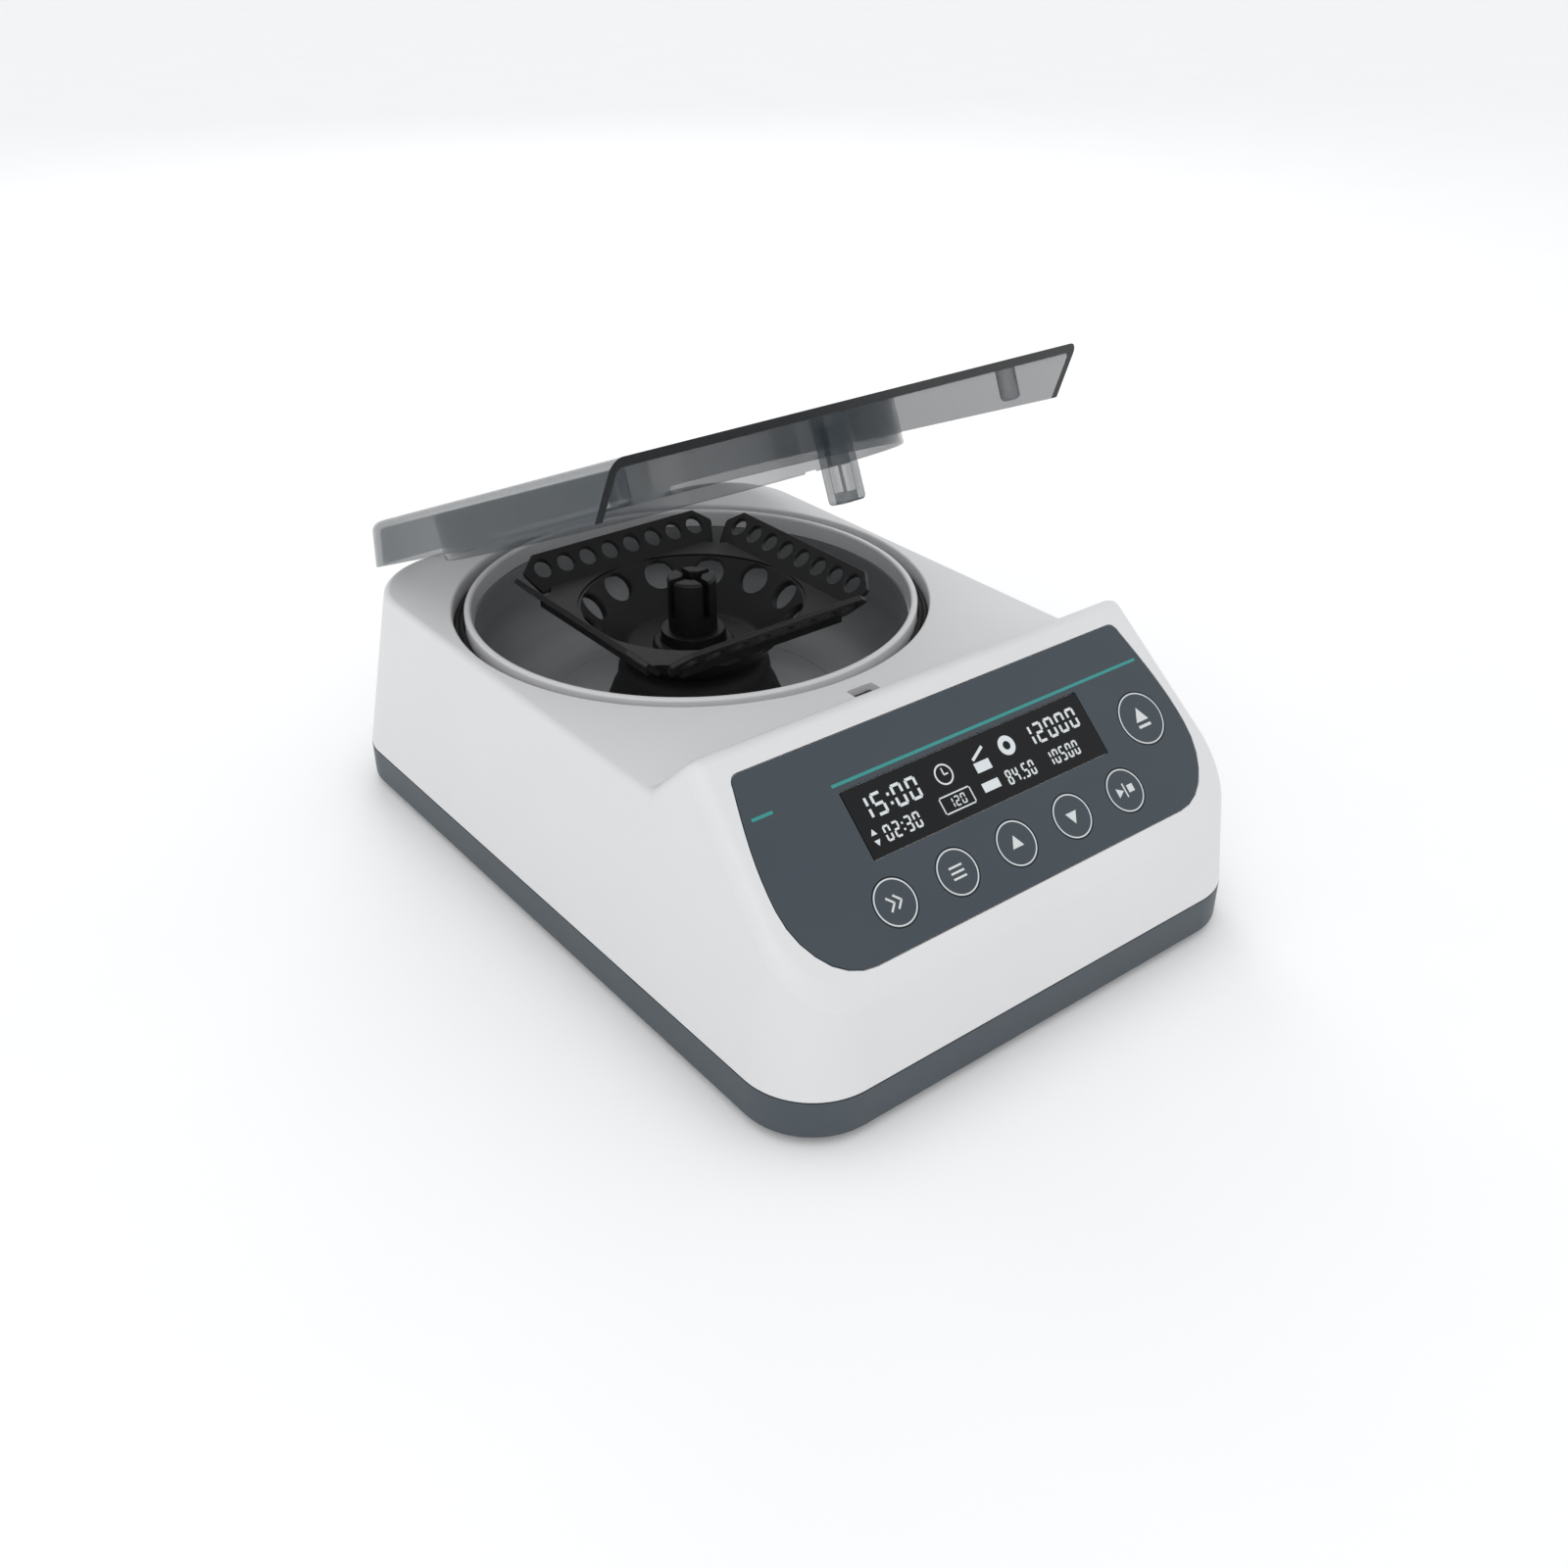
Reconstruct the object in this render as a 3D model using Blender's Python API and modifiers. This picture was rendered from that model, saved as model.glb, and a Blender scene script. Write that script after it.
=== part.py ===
"""Laboratory benchtop centrifuge: a moulded case with a sloping control panel, a round chamber
holding a combined tube and strip rotor on its motor, and a transparent hinged lid, drawn half open.

Units are metres, +Z is up, the control panel faces -Y and the origin is under the middle of the
footprint, level with the soles of the feet.
"""

import math

import bmesh
import bpy
from mathutils import Matrix, Vector

MM = 0.001

# ---------------------------------------------------------------- driving dimensions
BODY_WIDTH = 179.7 * MM         # over the base band
BODY_LENGTH = 259.6 * MM
BAND_HEIGHT = 12.0 * MM         # slate base tray
FOOT_DROP = 2.5 * MM            # feet below the tray
DRAFT = 0.119                   # inward lean of every wall, per unit of height
CORNER_FRONT = 22.5 * MM        # plan radius of the front corners at the base
CORNER_BACK = 22.5 * MM         # plan radius of the back corners at the base
CORNER_BACK_DECK = 30.0 * MM    # the same corners at deck height
WALL = 2.5 * MM                 # case wall
FLOOR = 3.0 * MM                # tray floor
GAP = 0.3 * MM                  # between pieces that meet
DECK_Z = 74.95 * MM             # flat deck round the chamber
CONSOLE_DEPTH = 74.1 * MM       # front of the case to the foot of the console's rear face
CONSOLE_RISE = 17.3 * MM        # top edge of the console above the deck
BACK_SLOPE = math.radians(45.0)     # rear face of the console
PANEL_SLOPE = math.radians(42.24)   # control panel

BOWL_R = 72.3 * MM              # inside of the metal chamber
BOWL_WALL = 1.4 * MM
CHAMBER_DEPTH = 41.45 * MM      # deck to the chamber floor
BOWL_FILLET = 21.0 * MM
RIM_STEP = 0.5 * MM             # the white rim's bore is this much wider than the bowl
RIM_WALL = 2.3 * MM
RIM_DEPTH = 6.0 * MM
RIM_EDGE = 1.0 * MM             # rounding of the rim's two top edges
GROOVE_WIDTH = 3.85 * MM        # between the rim and the hole in the deck
HOLE_LIP = 1.4 * MM             # thickness of the collar under the hole
HOLE_LIP_DEPTH = 8.0 * MM
SEAL_HEIGHT = 3.6 * MM
CHAMBER_LAND = 16.55 * MM       # deck left between the hole and the console
BOOT_R = 30.3 * MM              # motor cover on the chamber floor
BOOT_NECK_R = 26.0 * MM
BOOT_WALL = 2.0 * MM
BOOT_CLEARANCE = 2.5 * MM       # under the turning rotor

SHAFT_R = 3.0 * MM
MOTOR_R = 20.5 * MM
MOTOR_ABOVE_FLOOR = 2.5 * MM
MOTOR_BELOW_BOOT = 4.5 * MM
PLATE_BELOW_BOWL = 7.5 * MM     # motor plate, from its underside to the chamber floor
MOUNT_PLATE = 2.5 * MM
PLATE_SIZE = 80.0 * MM
MOUNT_REACH = 31.0 * MM         # shock mounts sit at plus and minus this in X and Y
SHOCK_R = 6.0 * MM
SHOCK_HEIGHT = 9.0 * MM

TUBE_COUNT = 12
TUBE_HOLE_R = 5.3 * MM
TUBE_CIRCLE_R = 33.3 * MM
TUBE_LAND = 0.75 * MM           # left above the tube holes
STRIP_COUNT = 4
STRIP_HOLES = 8
STRIP_PITCH = 9.0 * MM
STRIP_HOLE_R = 3.2 * MM
STRIP_DISTANCE = 42.85 * MM     # strip hole line to the spin axis
STRIP_RISE = 4.9 * MM           # strip hole line above the web
STRIP_THICKNESS = 1.8 * MM
STRIP_UPPER = 5.7 * MM          # strip plate above its hole line, along its slope
STRIP_END = 7.3 * MM            # strip plate beyond its last hole
CONE_ANGLE = math.radians(45.0)
CONE_WALL = 2.0 * MM
WEB_BELOW_DECK = 2.45 * MM      # flat web between the cone and the strips
WEB_THICKNESS = 3.0 * MM
ROTOR_DEPTH = 16.0 * MM         # web to the rotor floor
ROTOR_FLOOR_R = 22.6 * MM
HUB_R = 11.0 * MM
HUB_HEIGHT = 6.0 * MM
HUB_STEP_R = 13.6 * MM
HUB_STEP_HEIGHT = 1.5 * MM
NOTCH_R = 8.0 * MM              # scallops in the web's corners
NOTCH_REACH = 48.5 * MM         # spin axis to their innermost point
CLUTCH_R = 8.2 * MM             # slotted clamp on top of the hub
CLUTCH_HEIGHT = 18.5 * MM
CLUTCH_SLOT = (2.6 * MM, 13.0 * MM)

PANEL_RECESS = 1.05 * MM
PANEL_SHEET = 0.8 * MM
PANEL_FLOOR = 2.15 * MM
PANEL_TOP = 8.0 * MM            # distances down the slope from the ridge
PANEL_TURN = 44.0 * MM          # below this the sides curve in to the bottom edge
PANEL_BOTTOM = 67.2 * MM
PANEL_HALF_TOP = 72.5 * MM
PANEL_SWELL = 5.3 * MM          # how far the sides swell beyond the top edge
PANEL_HALF_BOTTOM = 58.5 * MM
PANEL_CORNER = 3.0 * MM
DISPLAY_SIZE = (89.4 * MM, 19.9 * MM)
DISPLAY_DOWN = 32.85 * MM
DISPLAY_LEDGE = 1.6 * MM
DISPLAY_THICK = 0.75 * MM
MODULE_SIZE = (96.0 * MM, 26.0 * MM, 4.5 * MM)
KEY_R = 6.8 * MM
KEY_ROW_DOWN = 54.9 * MM
KEY_FIRST_X = -45.1 * MM
KEY_PITCH = 22.15 * MM
KEY_COUNT = 5
LID_KEY_R = 8.4 * MM
LID_KEY_PLACE = (63.1 * MM, 37.8 * MM)
KEY_WELL = 1.2 * MM             # well in the case round each key
KEY_FLANGE = 0.9 * MM
KEY_FLANGE_REACH = 0.8 * MM
KEY_STEM_R = 1.6 * MM
KEY_TRAVEL = 0.5 * MM
BOARD_DEPTH = 10.0 * MM         # circuit board below the panel face
BOARD = 1.6 * MM
BOARD_SIZE = (150.0 * MM, 50.0 * MM)
BOARD_DOWN = 35.5 * MM
SWITCH_SIZE = 6.0 * MM
SWITCH_HEIGHT = 4.3 * MM
PROCESSOR_SIZE = (14.0 * MM, 14.0 * MM, 3.0 * MM)
STANDOFF_R = 2.6 * MM
STANDOFF_REACH = (70.0 * MM, 21.0 * MM)     # from the middle of the board

HINGE_DROP = 5.45 * MM          # hinge axis below the deck
HINGE_X = 39.0 * MM
KNUCKLE_WIDTH = 18.0 * MM
KNUCKLE_R = 4.2 * MM
HINGE_PIN_R = 1.6 * MM
EAR_WIDTH = 4.0 * MM
BRACKET_DEPTH = 5.5 * MM
BRACKET_HEIGHT = 13.65 * MM
LID_ANGLE = math.radians(23.0)  # drawn open by this much
LID_HEIGHT = 14.65 * MM         # lid dimensions are those of the closed lid
LID_GAP = 0.35 * MM             # lid skirt above the deck
LID_WALL = 2.4 * MM
LID_EDGE_R = 3.0 * MM
LID_FRONT_GAP = 0.5 * MM        # lid to the console's rear face
LID_RING_WALL = 1.1 * MM        # ring that shuts over the chamber rim
LID_RING_DEPTH = 2.45 * MM
BOSS_R = 3.0 * MM               # bumper bosses under the lid's front corners
BOSS_HEIGHT = 10.0 * MM
BOSS_FROM_SIDE = 19.85 * MM
BOSS_FROM_CREASE = 6.7 * MM
TAB_FROM_CREASE = 5.8 * MM      # latch tab under the front of the lid
TAB_SIZE = (8.6 * MM, 7.6 * MM)
TAB_DEPTH = 12.45 * MM          # below the deck when the lid is shut
TAB_WALL = 1.8 * MM
TAB_CLEARANCE = 0.6 * MM
WINDOW_SIZE = (4.6 * MM, 7.5 * MM)
WINDOW_DEPTH = 5.65 * MM        # middle of the tab's window below the deck
LATCH_SIZE = (18.0 * MM, 20.0 * MM, 9.9 * MM)
LATCH_DROP = 0.55 * MM          # latch body below the deck wall
BOLT_SIDE_PLAY = 0.5 * MM
BOLT_HEIGHT_PLAY = 1.5 * MM
BOLT_BELOW_WINDOW = 1.0 * MM
BOLT_BACK = 1.0 * MM            # drawn bolt stops this far from the tab

SCREW_FROM_SIDE = 23.85 * MM
SCREW_FROM_FRONT = 24.8 * MM
SCREW_FROM_BACK = 22.8 * MM
FOOT_R = 8.5 * MM
FOOT_POCKET = 1.4 * MM
SCREW_R = 1.5 * MM
SCREW_LENGTH = 21.5 * MM
SCREW_HEAD_R = 3.0 * MM
SCREW_HEAD = 1.3 * MM
SCREW_SUNK = 0.5 * MM           # screw head above the foot's sole
PILLAR_R = 4.2 * MM
PILLAR_BELOW_PANEL = 21.2 * MM  # front pillars stop under the circuit board
TIE_HEIGHT = 16.0 * MM          # ribs from the front pillars to the side walls
TIE_LENGTH = 24.0 * MM
TIE_WALL = 2.5 * MM

POWER_BOARD_Z = 14.0 * MM
POWER_BOARD_SIZE = (118.0 * MM, 44.0 * MM)
POWER_BOARD_FROM_FRONT = 34.8 * MM
BOARD_POST_R = 3.0 * MM
BOARD_POST_REACH = (50.0 * MM, 16.0 * MM)
TRAY_VENT = (36.0 * MM, 2.4 * MM)
TRAY_VENT_COUNT = 6
TRAY_VENT_PITCH = 6.0 * MM
TRAY_VENT_FROM_CREASE = 25.7 * MM

REAR_PANEL_Z = 40.0 * MM
INLET_X = 45.0 * MM
INLET_SIZE = (28.0 * MM, 20.5 * MM)
INLET_DEPTH = 20.0 * MM
INLET_WALL = (2.0 * MM, 2.25 * MM)
INLET_FLANGE = 2.0 * MM
SOCKET_DEPTH = 15.0 * MM
PIN_SIZE = (2.0 * MM, 13.0 * MM, 4.0 * MM)
PIN_REACH = 7.0 * MM            # outer pins from the middle one
SWITCH_X = -45.0 * MM
ROCKER_BEZEL = (22.0 * MM, 15.5 * MM)
ROCKER_SIZE = (16.0 * MM, 10.0 * MM)
ROCKER_TILT = math.radians(8.0)
ROCKER_AXIS_DEPTH = 1.5 * MM    # behind the wall
ROCKER_WELL = 7.0 * MM
BEZEL_THICK = 1.2 * MM          # inlet and switch flanges on the back wall
REAR_VENT = (34.0 * MM, 2.2 * MM)
REAR_VENT_COUNT = 7
REAR_VENT_PITCH = 5.5 * MM
REAR_VENT_LOW_Z = 24.0 * MM

CORNER_STEPS = 5
ROUND_STEPS = 48

# ---------------------------------------------------------------- scene and materials
for old in list(bpy.data.objects):
    bpy.data.objects.remove(old, do_unlink=True)

PARTS = bpy.data.collections.new("laboratory_centrifuge")
CUTTERS = bpy.data.collections.new("cutters")
bpy.context.scene.collection.children.link(PARTS)
bpy.context.scene.collection.children.link(CUTTERS)


def make_material(name, colour, roughness, metallic=0.0, alpha=1.0):
    made = bpy.data.materials.new(name)
    made.use_nodes = True
    shader = made.node_tree.nodes["Principled BSDF"]
    shader.inputs["Base Color"].default_value = (*colour, 1.0)
    shader.inputs["Roughness"].default_value = roughness
    shader.inputs["Metallic"].default_value = metallic
    shader.inputs["Alpha"].default_value = alpha
    return made


WHITE = make_material("white_abs", (0.72, 0.72, 0.72), 0.4)
SLATE = make_material("slate_abs", (0.075, 0.095, 0.115), 0.45)
OVERLAY = make_material("slate_overlay", (0.08, 0.1, 0.12), 0.5)
BLACK = make_material("black_polymer", (0.012, 0.012, 0.013), 0.45)
RUBBER = make_material("black_rubber", (0.02, 0.02, 0.02), 0.8)
BOWL_METAL = make_material("bead_blasted_aluminium", (0.3, 0.3, 0.31), 0.4, 1.0)
STEEL = make_material("bright_steel", (0.55, 0.55, 0.55), 0.3, 1.0)
SMOKE = make_material("smoked_polycarbonate", (0.3, 0.35, 0.38), 0.08, 0.0, 0.45)
GLASS_BLACK = make_material("display_glass", (0.02, 0.02, 0.02), 0.1)
CIRCUIT = make_material("green_circuit_board", (0.02, 0.12, 0.05), 0.5)


# ---------------------------------------------------------------- modelling functions
def place(thing, name, collection=PARTS, material=None, parent=None, location=(0, 0, 0)):
    """Names and links a mesh or curve, and puts it at a place in its parent's frame."""
    made = bpy.data.objects.new(name, thing)
    collection.objects.link(made)
    made.location = location
    made.parent = parent
    if material is not None:
        made.data.materials.append(material)
    if collection is CUTTERS:
        made.hide_render = True
        made.display_type = "WIRE"
    return made


def frame_at(name, location, tilt=0.0, parent=None):
    """An empty that carries the pieces lying on one plane or turning about one axis."""
    made = bpy.data.objects.new(name, None)
    PARTS.objects.link(made)
    made.location = location
    made.rotation_euler.x = tilt
    made.parent = parent
    return made


def mesh_from(bm, name):
    bmesh.ops.recalc_face_normals(bm, faces=bm.faces)
    mesh = bpy.data.meshes.new(name)
    bm.to_mesh(mesh)
    bm.free()
    return mesh


def smooth(made, angle=35.0):
    made.data.shade_smooth()
    made.data.set_sharp_from_angle(angle=math.radians(angle))
    return made


def box(name, size, location, bevel=0.0, upright_only=False, **where):
    """A block, with all its edges or only the upright ones rounded."""
    bm = bmesh.new()
    bmesh.ops.create_cube(bm, size=1.0)
    bmesh.ops.scale(bm, vec=size, verts=bm.verts)
    if bevel:
        edges = bm.edges[:]
        if upright_only:
            edges = [e for e in edges if abs(e.verts[0].co.z - e.verts[1].co.z) > size[2] / 2]
        bmesh.ops.bevel(bm, geom=edges, offset=bevel, segments=3, affect="EDGES", profile=0.5)
    return place(mesh_from(bm, name), name, location=location, **where)


def rod(name, radius, length, location, axis="Z", steps=24, **where):
    """A cylinder whose axis runs along X, Y or Z through its own centre."""
    turn = {"X": Matrix.Rotation(math.pi / 2, 3, "Y"), "Y": Matrix.Rotation(math.pi / 2, 3, "X"),
            "Z": Matrix.Identity(3)}[axis]
    bm = bmesh.new()
    bmesh.ops.create_cone(bm, cap_ends=True, segments=steps, radius1=radius, radius2=radius,
                          depth=length)
    bmesh.ops.rotate(bm, verts=bm.verts, cent=(0, 0, 0), matrix=turn)
    return smooth(place(mesh_from(bm, name), name, location=location, **where))


def rods(name, radius, length, frames, steps=16, **where):
    """One cutter made of equal cylinders, each along the Z axis of its own matrix."""
    bm = bmesh.new()
    for matrix in frames:
        bmesh.ops.create_cone(bm, cap_ends=True, segments=steps, radius1=radius, radius2=radius,
                              depth=length, matrix=matrix)
    return place(mesh_from(bm, name), name, collection=CUTTERS, **where)


def boxes(name, size, places, **where):
    """One cutter made of equal blocks."""
    bm = bmesh.new()
    for spot in places:
        bmesh.ops.create_cube(bm, size=1.0, matrix=Matrix.LocRotScale(Vector(spot), None, Vector(size)))
    return place(mesh_from(bm, name), name, collection=CUTTERS, **where)


def turned(name, profile, location=(0, 0, 0), steps=ROUND_STEPS, closed=True, **where):
    """A profile of (radius, height) points, running down its outer side, turned about Z."""
    bm = bmesh.new()
    corners = [bm.verts.new((r, 0.0, z)) for r, z in profile]
    for first, second in zip(corners, corners[1:] + corners[:1] if closed else corners[1:]):
        bm.edges.new((first, second))
    mesh = bpy.data.meshes.new(name)
    bm.to_mesh(mesh)
    bm.free()
    made = place(mesh, name, location=location, **where)
    screw = made.modifiers.new("turn", "SCREW")
    screw.axis = "Z"
    screw.angle = 2 * math.pi
    screw.steps = steps
    screw.render_steps = steps
    screw.use_merge_vertices = True
    screw.merge_threshold = 0.00001
    screw.use_smooth_shade = True
    return made


def plate(name, outline, thickness, location=(0, 0, 0), **where):
    """A flat outline in X and Y with its thickness centred on the plane."""
    curve = bpy.data.curves.new(name + "_outline", "CURVE")
    curve.dimensions = "2D"
    curve.fill_mode = "BOTH"
    curve.extrude = thickness / 2
    spline = curve.splines.new("POLY")
    spline.points.add(len(outline) - 1)
    for point, (x, y) in zip(spline.points, outline):
        point.co = (x, y, 0.0, 1.0)
    spline.use_cyclic_u = True
    guide = bpy.data.objects.new(name + "_outline", curve)
    CUTTERS.objects.link(guide)
    shaped = guide.evaluated_get(bpy.context.evaluated_depsgraph_get())
    bm = bmesh.new()
    bm.from_mesh(bpy.data.meshes.new_from_object(shaped))
    bpy.data.objects.remove(guide)
    bmesh.ops.remove_doubles(bm, verts=bm.verts, dist=0.000001)
    return place(mesh_from(bm, name), name, location=location, **where)


def rounded_section(half_x, front, back, corner_front, corner_back, z):
    """Points of a rectangle with round corners, at height z."""
    centres = ((half_x - corner_back, back - corner_back, corner_back),
               (-half_x + corner_back, back - corner_back, corner_back),
               (-half_x + corner_front, front + corner_front, corner_front),
               (half_x - corner_front, front + corner_front, corner_front))
    points = []
    for quarter, (x, y, radius) in enumerate(centres):
        for step in range(CORNER_STEPS + 1):
            angle = (quarter + step / CORNER_STEPS) * math.pi / 2
            points.append((x + radius * math.cos(angle), y + radius * math.sin(angle), z))
    return points


def body_section(z, inset):
    """The case's outline at height z, moved inward by inset."""
    rise = z - FOOT_DROP - BAND_HEIGHT
    lean = DRAFT * max(rise, 0.0)
    share = max(rise, 0.0) / (DECK_Z - FOOT_DROP - BAND_HEIGHT)
    back_corner = CORNER_BACK + share * (CORNER_BACK_DECK - CORNER_BACK)
    front_corner = CORNER_FRONT - lean
    move = lean + inset
    return rounded_section(BODY_WIDTH / 2 - move, -BODY_LENGTH / 2 + move, BODY_LENGTH / 2 - move,
                           front_corner - inset, back_corner - inset, z)


def loft(name, sections, **where):
    """A solid through sections that have the same number of points."""
    bm = bmesh.new()
    rings = []
    for section in sections:
        corners = [bm.verts.new(point) for point in section]
        pairs = zip(corners, corners[1:] + corners[:1])
        rings.append([bm.edges.new(pair) for pair in pairs])
    for lower, upper in zip(rings, rings[1:]):
        bmesh.ops.bridge_loops(bm, edges=lower + upper)
    bmesh.ops.edgeloop_fill(bm, edges=rings[0])
    bmesh.ops.edgeloop_fill(bm, edges=rings[-1])
    return place(mesh_from(bm, name), name, **where)


def side_prism(name, profile, width, **where):
    """A (y, z) profile given its width along X."""
    made = plate(name, profile, width, **where)
    made.data.transform(Matrix(((0, 0, 1, 0), (1, 0, 0, 0), (0, 1, 0, 0), (0, 0, 0, 1))))
    return made


def combine(target, tool, operation):
    step = target.modifiers.new(operation.lower() + "_" + tool.name, "BOOLEAN")
    step.operation = operation
    step.object = tool
    step.solver = "EXACT"
    return target


def cut(target, *tools):
    for tool in tools:
        combine(target, tool, "DIFFERENCE")
    return target


def join(target, *tools):
    """Adds tools, which lie among the cutters, to the target solid."""
    for tool in tools:
        combine(target, tool, "UNION")
    return target


def meet(first, second):
    """Where two lines of a side profile cross; each is (point, angle) in Y and Z."""
    (y1, z1), a1 = first
    (y2, z2), a2 = second
    reach = ((y2 - y1) * math.sin(a2) - (z2 - z1) * math.cos(a2)) / math.sin(a2 - a1)
    return (y1 + reach * math.cos(a1), z1 + reach * math.sin(a1))


def wall_y(z):
    """Outside of the back wall at height z."""
    return BODY_LENGTH / 2 - DRAFT * (z - FOOT_DROP - BAND_HEIGHT)


# ---------------------------------------------------------------- places that follow from the sizes
CREASE_Y = -BODY_LENGTH / 2 + CONSOLE_DEPTH     # where the deck meets the console
RIDGE_Z = DECK_Z + CONSOLE_RISE
RIM_BORE_R = BOWL_R + RIM_STEP
RIM_R = RIM_BORE_R + RIM_WALL
HOLE_R = RIM_R + GROOVE_WIDTH
ROTOR_Y = CREASE_Y + CHAMBER_LAND + HOLE_R      # spin axis, on X = 0
BOWL_FLOOR_Z = DECK_Z - CHAMBER_DEPTH
WEB_Z = DECK_Z - WEB_BELOW_DECK
STRIP_Z = WEB_Z + STRIP_RISE
TUBE_CIRCLE_Z = WEB_Z - TUBE_LAND - TUBE_HOLE_R * math.sin(CONE_ANGLE)
ROTOR_FLOOR_Z = WEB_Z - ROTOR_DEPTH
HUB_TOP_Z = ROTOR_FLOOR_Z + HUB_HEIGHT
HUB_STEP_Z = ROTOR_FLOOR_Z + HUB_STEP_HEIGHT
CLUTCH_TOP_Z = HUB_TOP_Z + CLUTCH_HEIGHT
BOOT_TOP_Z = ROTOR_FLOOR_Z - CONE_WALL - BOOT_CLEARANCE
MOTOR_TOP_Z = BOOT_TOP_Z - MOTOR_BELOW_BOOT
MOUNT_PLATE_Z = BOWL_FLOOR_Z - PLATE_BELOW_BOWL
HINGE_Z = DECK_Z - HINGE_DROP
HINGE_Y = wall_y(HINGE_Z)
LID_TOP_Z = DECK_Z + LID_HEIGHT
LID_RING_R = RIM_R + GAP + LID_RING_WALL
LID_RING_BOTTOM_Z = DECK_Z - LID_RING_DEPTH
TAB_Y = CREASE_Y + TAB_FROM_CREASE
TAB_BOTTOM_Z = DECK_Z - TAB_DEPTH
WINDOW_Z = DECK_Z - WINDOW_DEPTH
POWER_BOARD_Y = -BODY_LENGTH / 2 + POWER_BOARD_FROM_FRONT
TRAY_TOP_Z = FOOT_DROP + BAND_HEIGHT
SHELL_BOTTOM_Z = TRAY_TOP_Z + GAP
TRAY_FLOOR_Z = FOOT_DROP + FLOOR
MOTOR_BOTTOM_Z = TRAY_FLOOR_Z + MOTOR_ABOVE_FLOOR

ridge_y = CREASE_Y - CONSOLE_RISE / math.tan(BACK_SLOPE)
panel = frame_at("panel_frame", (0, ridge_y, RIDGE_Z), PANEL_SLOPE)
rear = frame_at("rear_frame", (0, wall_y(REAR_PANEL_Z), REAR_PANEL_Z), math.atan(DRAFT))
lid_axis = frame_at("lid_axis", (0, HINGE_Y, HINGE_Z), -LID_ANGLE)
spin_axis = frame_at("spin_axis", (0, ROTOR_Y, 0))
screw_x = BODY_WIDTH / 2 - SCREW_FROM_SIDE
screw_rows = (-BODY_LENGTH / 2 + SCREW_FROM_FRONT, BODY_LENGTH / 2 - SCREW_FROM_BACK)
screw_spots = [(side * screw_x, y) for y in screw_rows for side in (1, -1)]

# ---------------------------------------------------------------- base tray, feet and screws
tray = loft("base_tray", [body_section(FOOT_DROP, 0.8 * MM), body_section(FOOT_DROP + 0.8 * MM, 0.0),
                          body_section(TRAY_TOP_Z, 0.0)], material=SLATE)
cut(tray, loft("tray_hollow", [body_section(TRAY_FLOOR_Z, WALL), body_section(TRAY_TOP_Z + 2 * MM, WALL)],
               collection=CUTTERS))
POST_TOP_Z = MOUNT_PLATE_Z - GAP - SHOCK_HEIGHT - GAP
mount_spots = [(sx * MOUNT_REACH, ROTOR_Y + sy * MOUNT_REACH) for sx in (1, -1) for sy in (1, -1)]
post_height = POST_TOP_Z - FOOT_DROP - 1 * MM
for number, (x, y) in enumerate(mount_spots):
    join(tray, rod(f"mount_post_{number}", SHOCK_R, post_height,
                   (x, y, FOOT_DROP + 1 * MM + post_height / 2), collection=CUTTERS))
foot_top_z = FOOT_DROP + FOOT_POCKET - GAP
cut(tray, rods("foot_pockets", FOOT_R + GAP, 2 * FOOT_POCKET,
               [Matrix.Translation((x, y, FOOT_DROP)) for x, y in screw_spots], steps=20))
cut(tray, rods("screw_holes", SCREW_R + GAP, 4 * FLOOR,
               [Matrix.Translation((x, y, FOOT_DROP)) for x, y in screw_spots]))
vent_rows = [CREASE_Y + TRAY_VENT_FROM_CREASE - step * TRAY_VENT_PITCH for step in range(TRAY_VENT_COUNT)]
cut(tray, boxes("tray_vents", (*TRAY_VENT, 4 * FLOOR), [(0, y, TRAY_FLOOR_Z) for y in vent_rows]))
board_posts = [(sx * BOARD_POST_REACH[0], POWER_BOARD_Y + sy * BOARD_POST_REACH[1])
               for sx in (1, -1) for sy in (1, -1)]
board_post_height = POWER_BOARD_Z - GAP - FOOT_DROP - 1 * MM
for number, (x, y) in enumerate(board_posts):
    join(tray, rod(f"board_post_{number}", BOARD_POST_R, board_post_height,
                   (x, y, FOOT_DROP + 1 * MM + board_post_height / 2), steps=12, collection=CUTTERS))

for number, (x, y) in enumerate(screw_spots):
    foot = rod(f"foot_{number}", FOOT_R, foot_top_z, (x, y, foot_top_z / 2), steps=20,
               material=RUBBER)
    cut(foot, rod(f"foot_bore_{number}", SCREW_R + GAP, 4 * foot_top_z, (x, y, 0), steps=12,
                  collection=CUTTERS))
    cut(foot, rod(f"foot_sink_{number}", SCREW_HEAD_R + GAP, 2 * (SCREW_SUNK + SCREW_HEAD + GAP), (x, y, 0),
                  steps=12, collection=CUTTERS))
    head_z = SCREW_SUNK
    shank_top = head_z + SCREW_LENGTH
    profile = [(0, shank_top), (SCREW_R, shank_top), (SCREW_R, head_z + SCREW_HEAD),
               (SCREW_HEAD_R, head_z + SCREW_HEAD), (SCREW_HEAD_R, head_z), (0, head_z)]
    turned(f"base_screw_{number}", profile, (x, y, 0), steps=12, closed=False, material=STEEL)

# ---------------------------------------------------------------- upper shell
deck_line = ((0.0, DECK_Z), 0.0)
back_line = ((CREASE_Y, DECK_Z), math.pi - BACK_SLOPE)
panel_line = ((ridge_y, RIDGE_Z), PANEL_SLOPE)
beyond = BODY_LENGTH / 2 + 10 * MM
below = SHELL_BOTTOM_Z - 5 * MM


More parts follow.
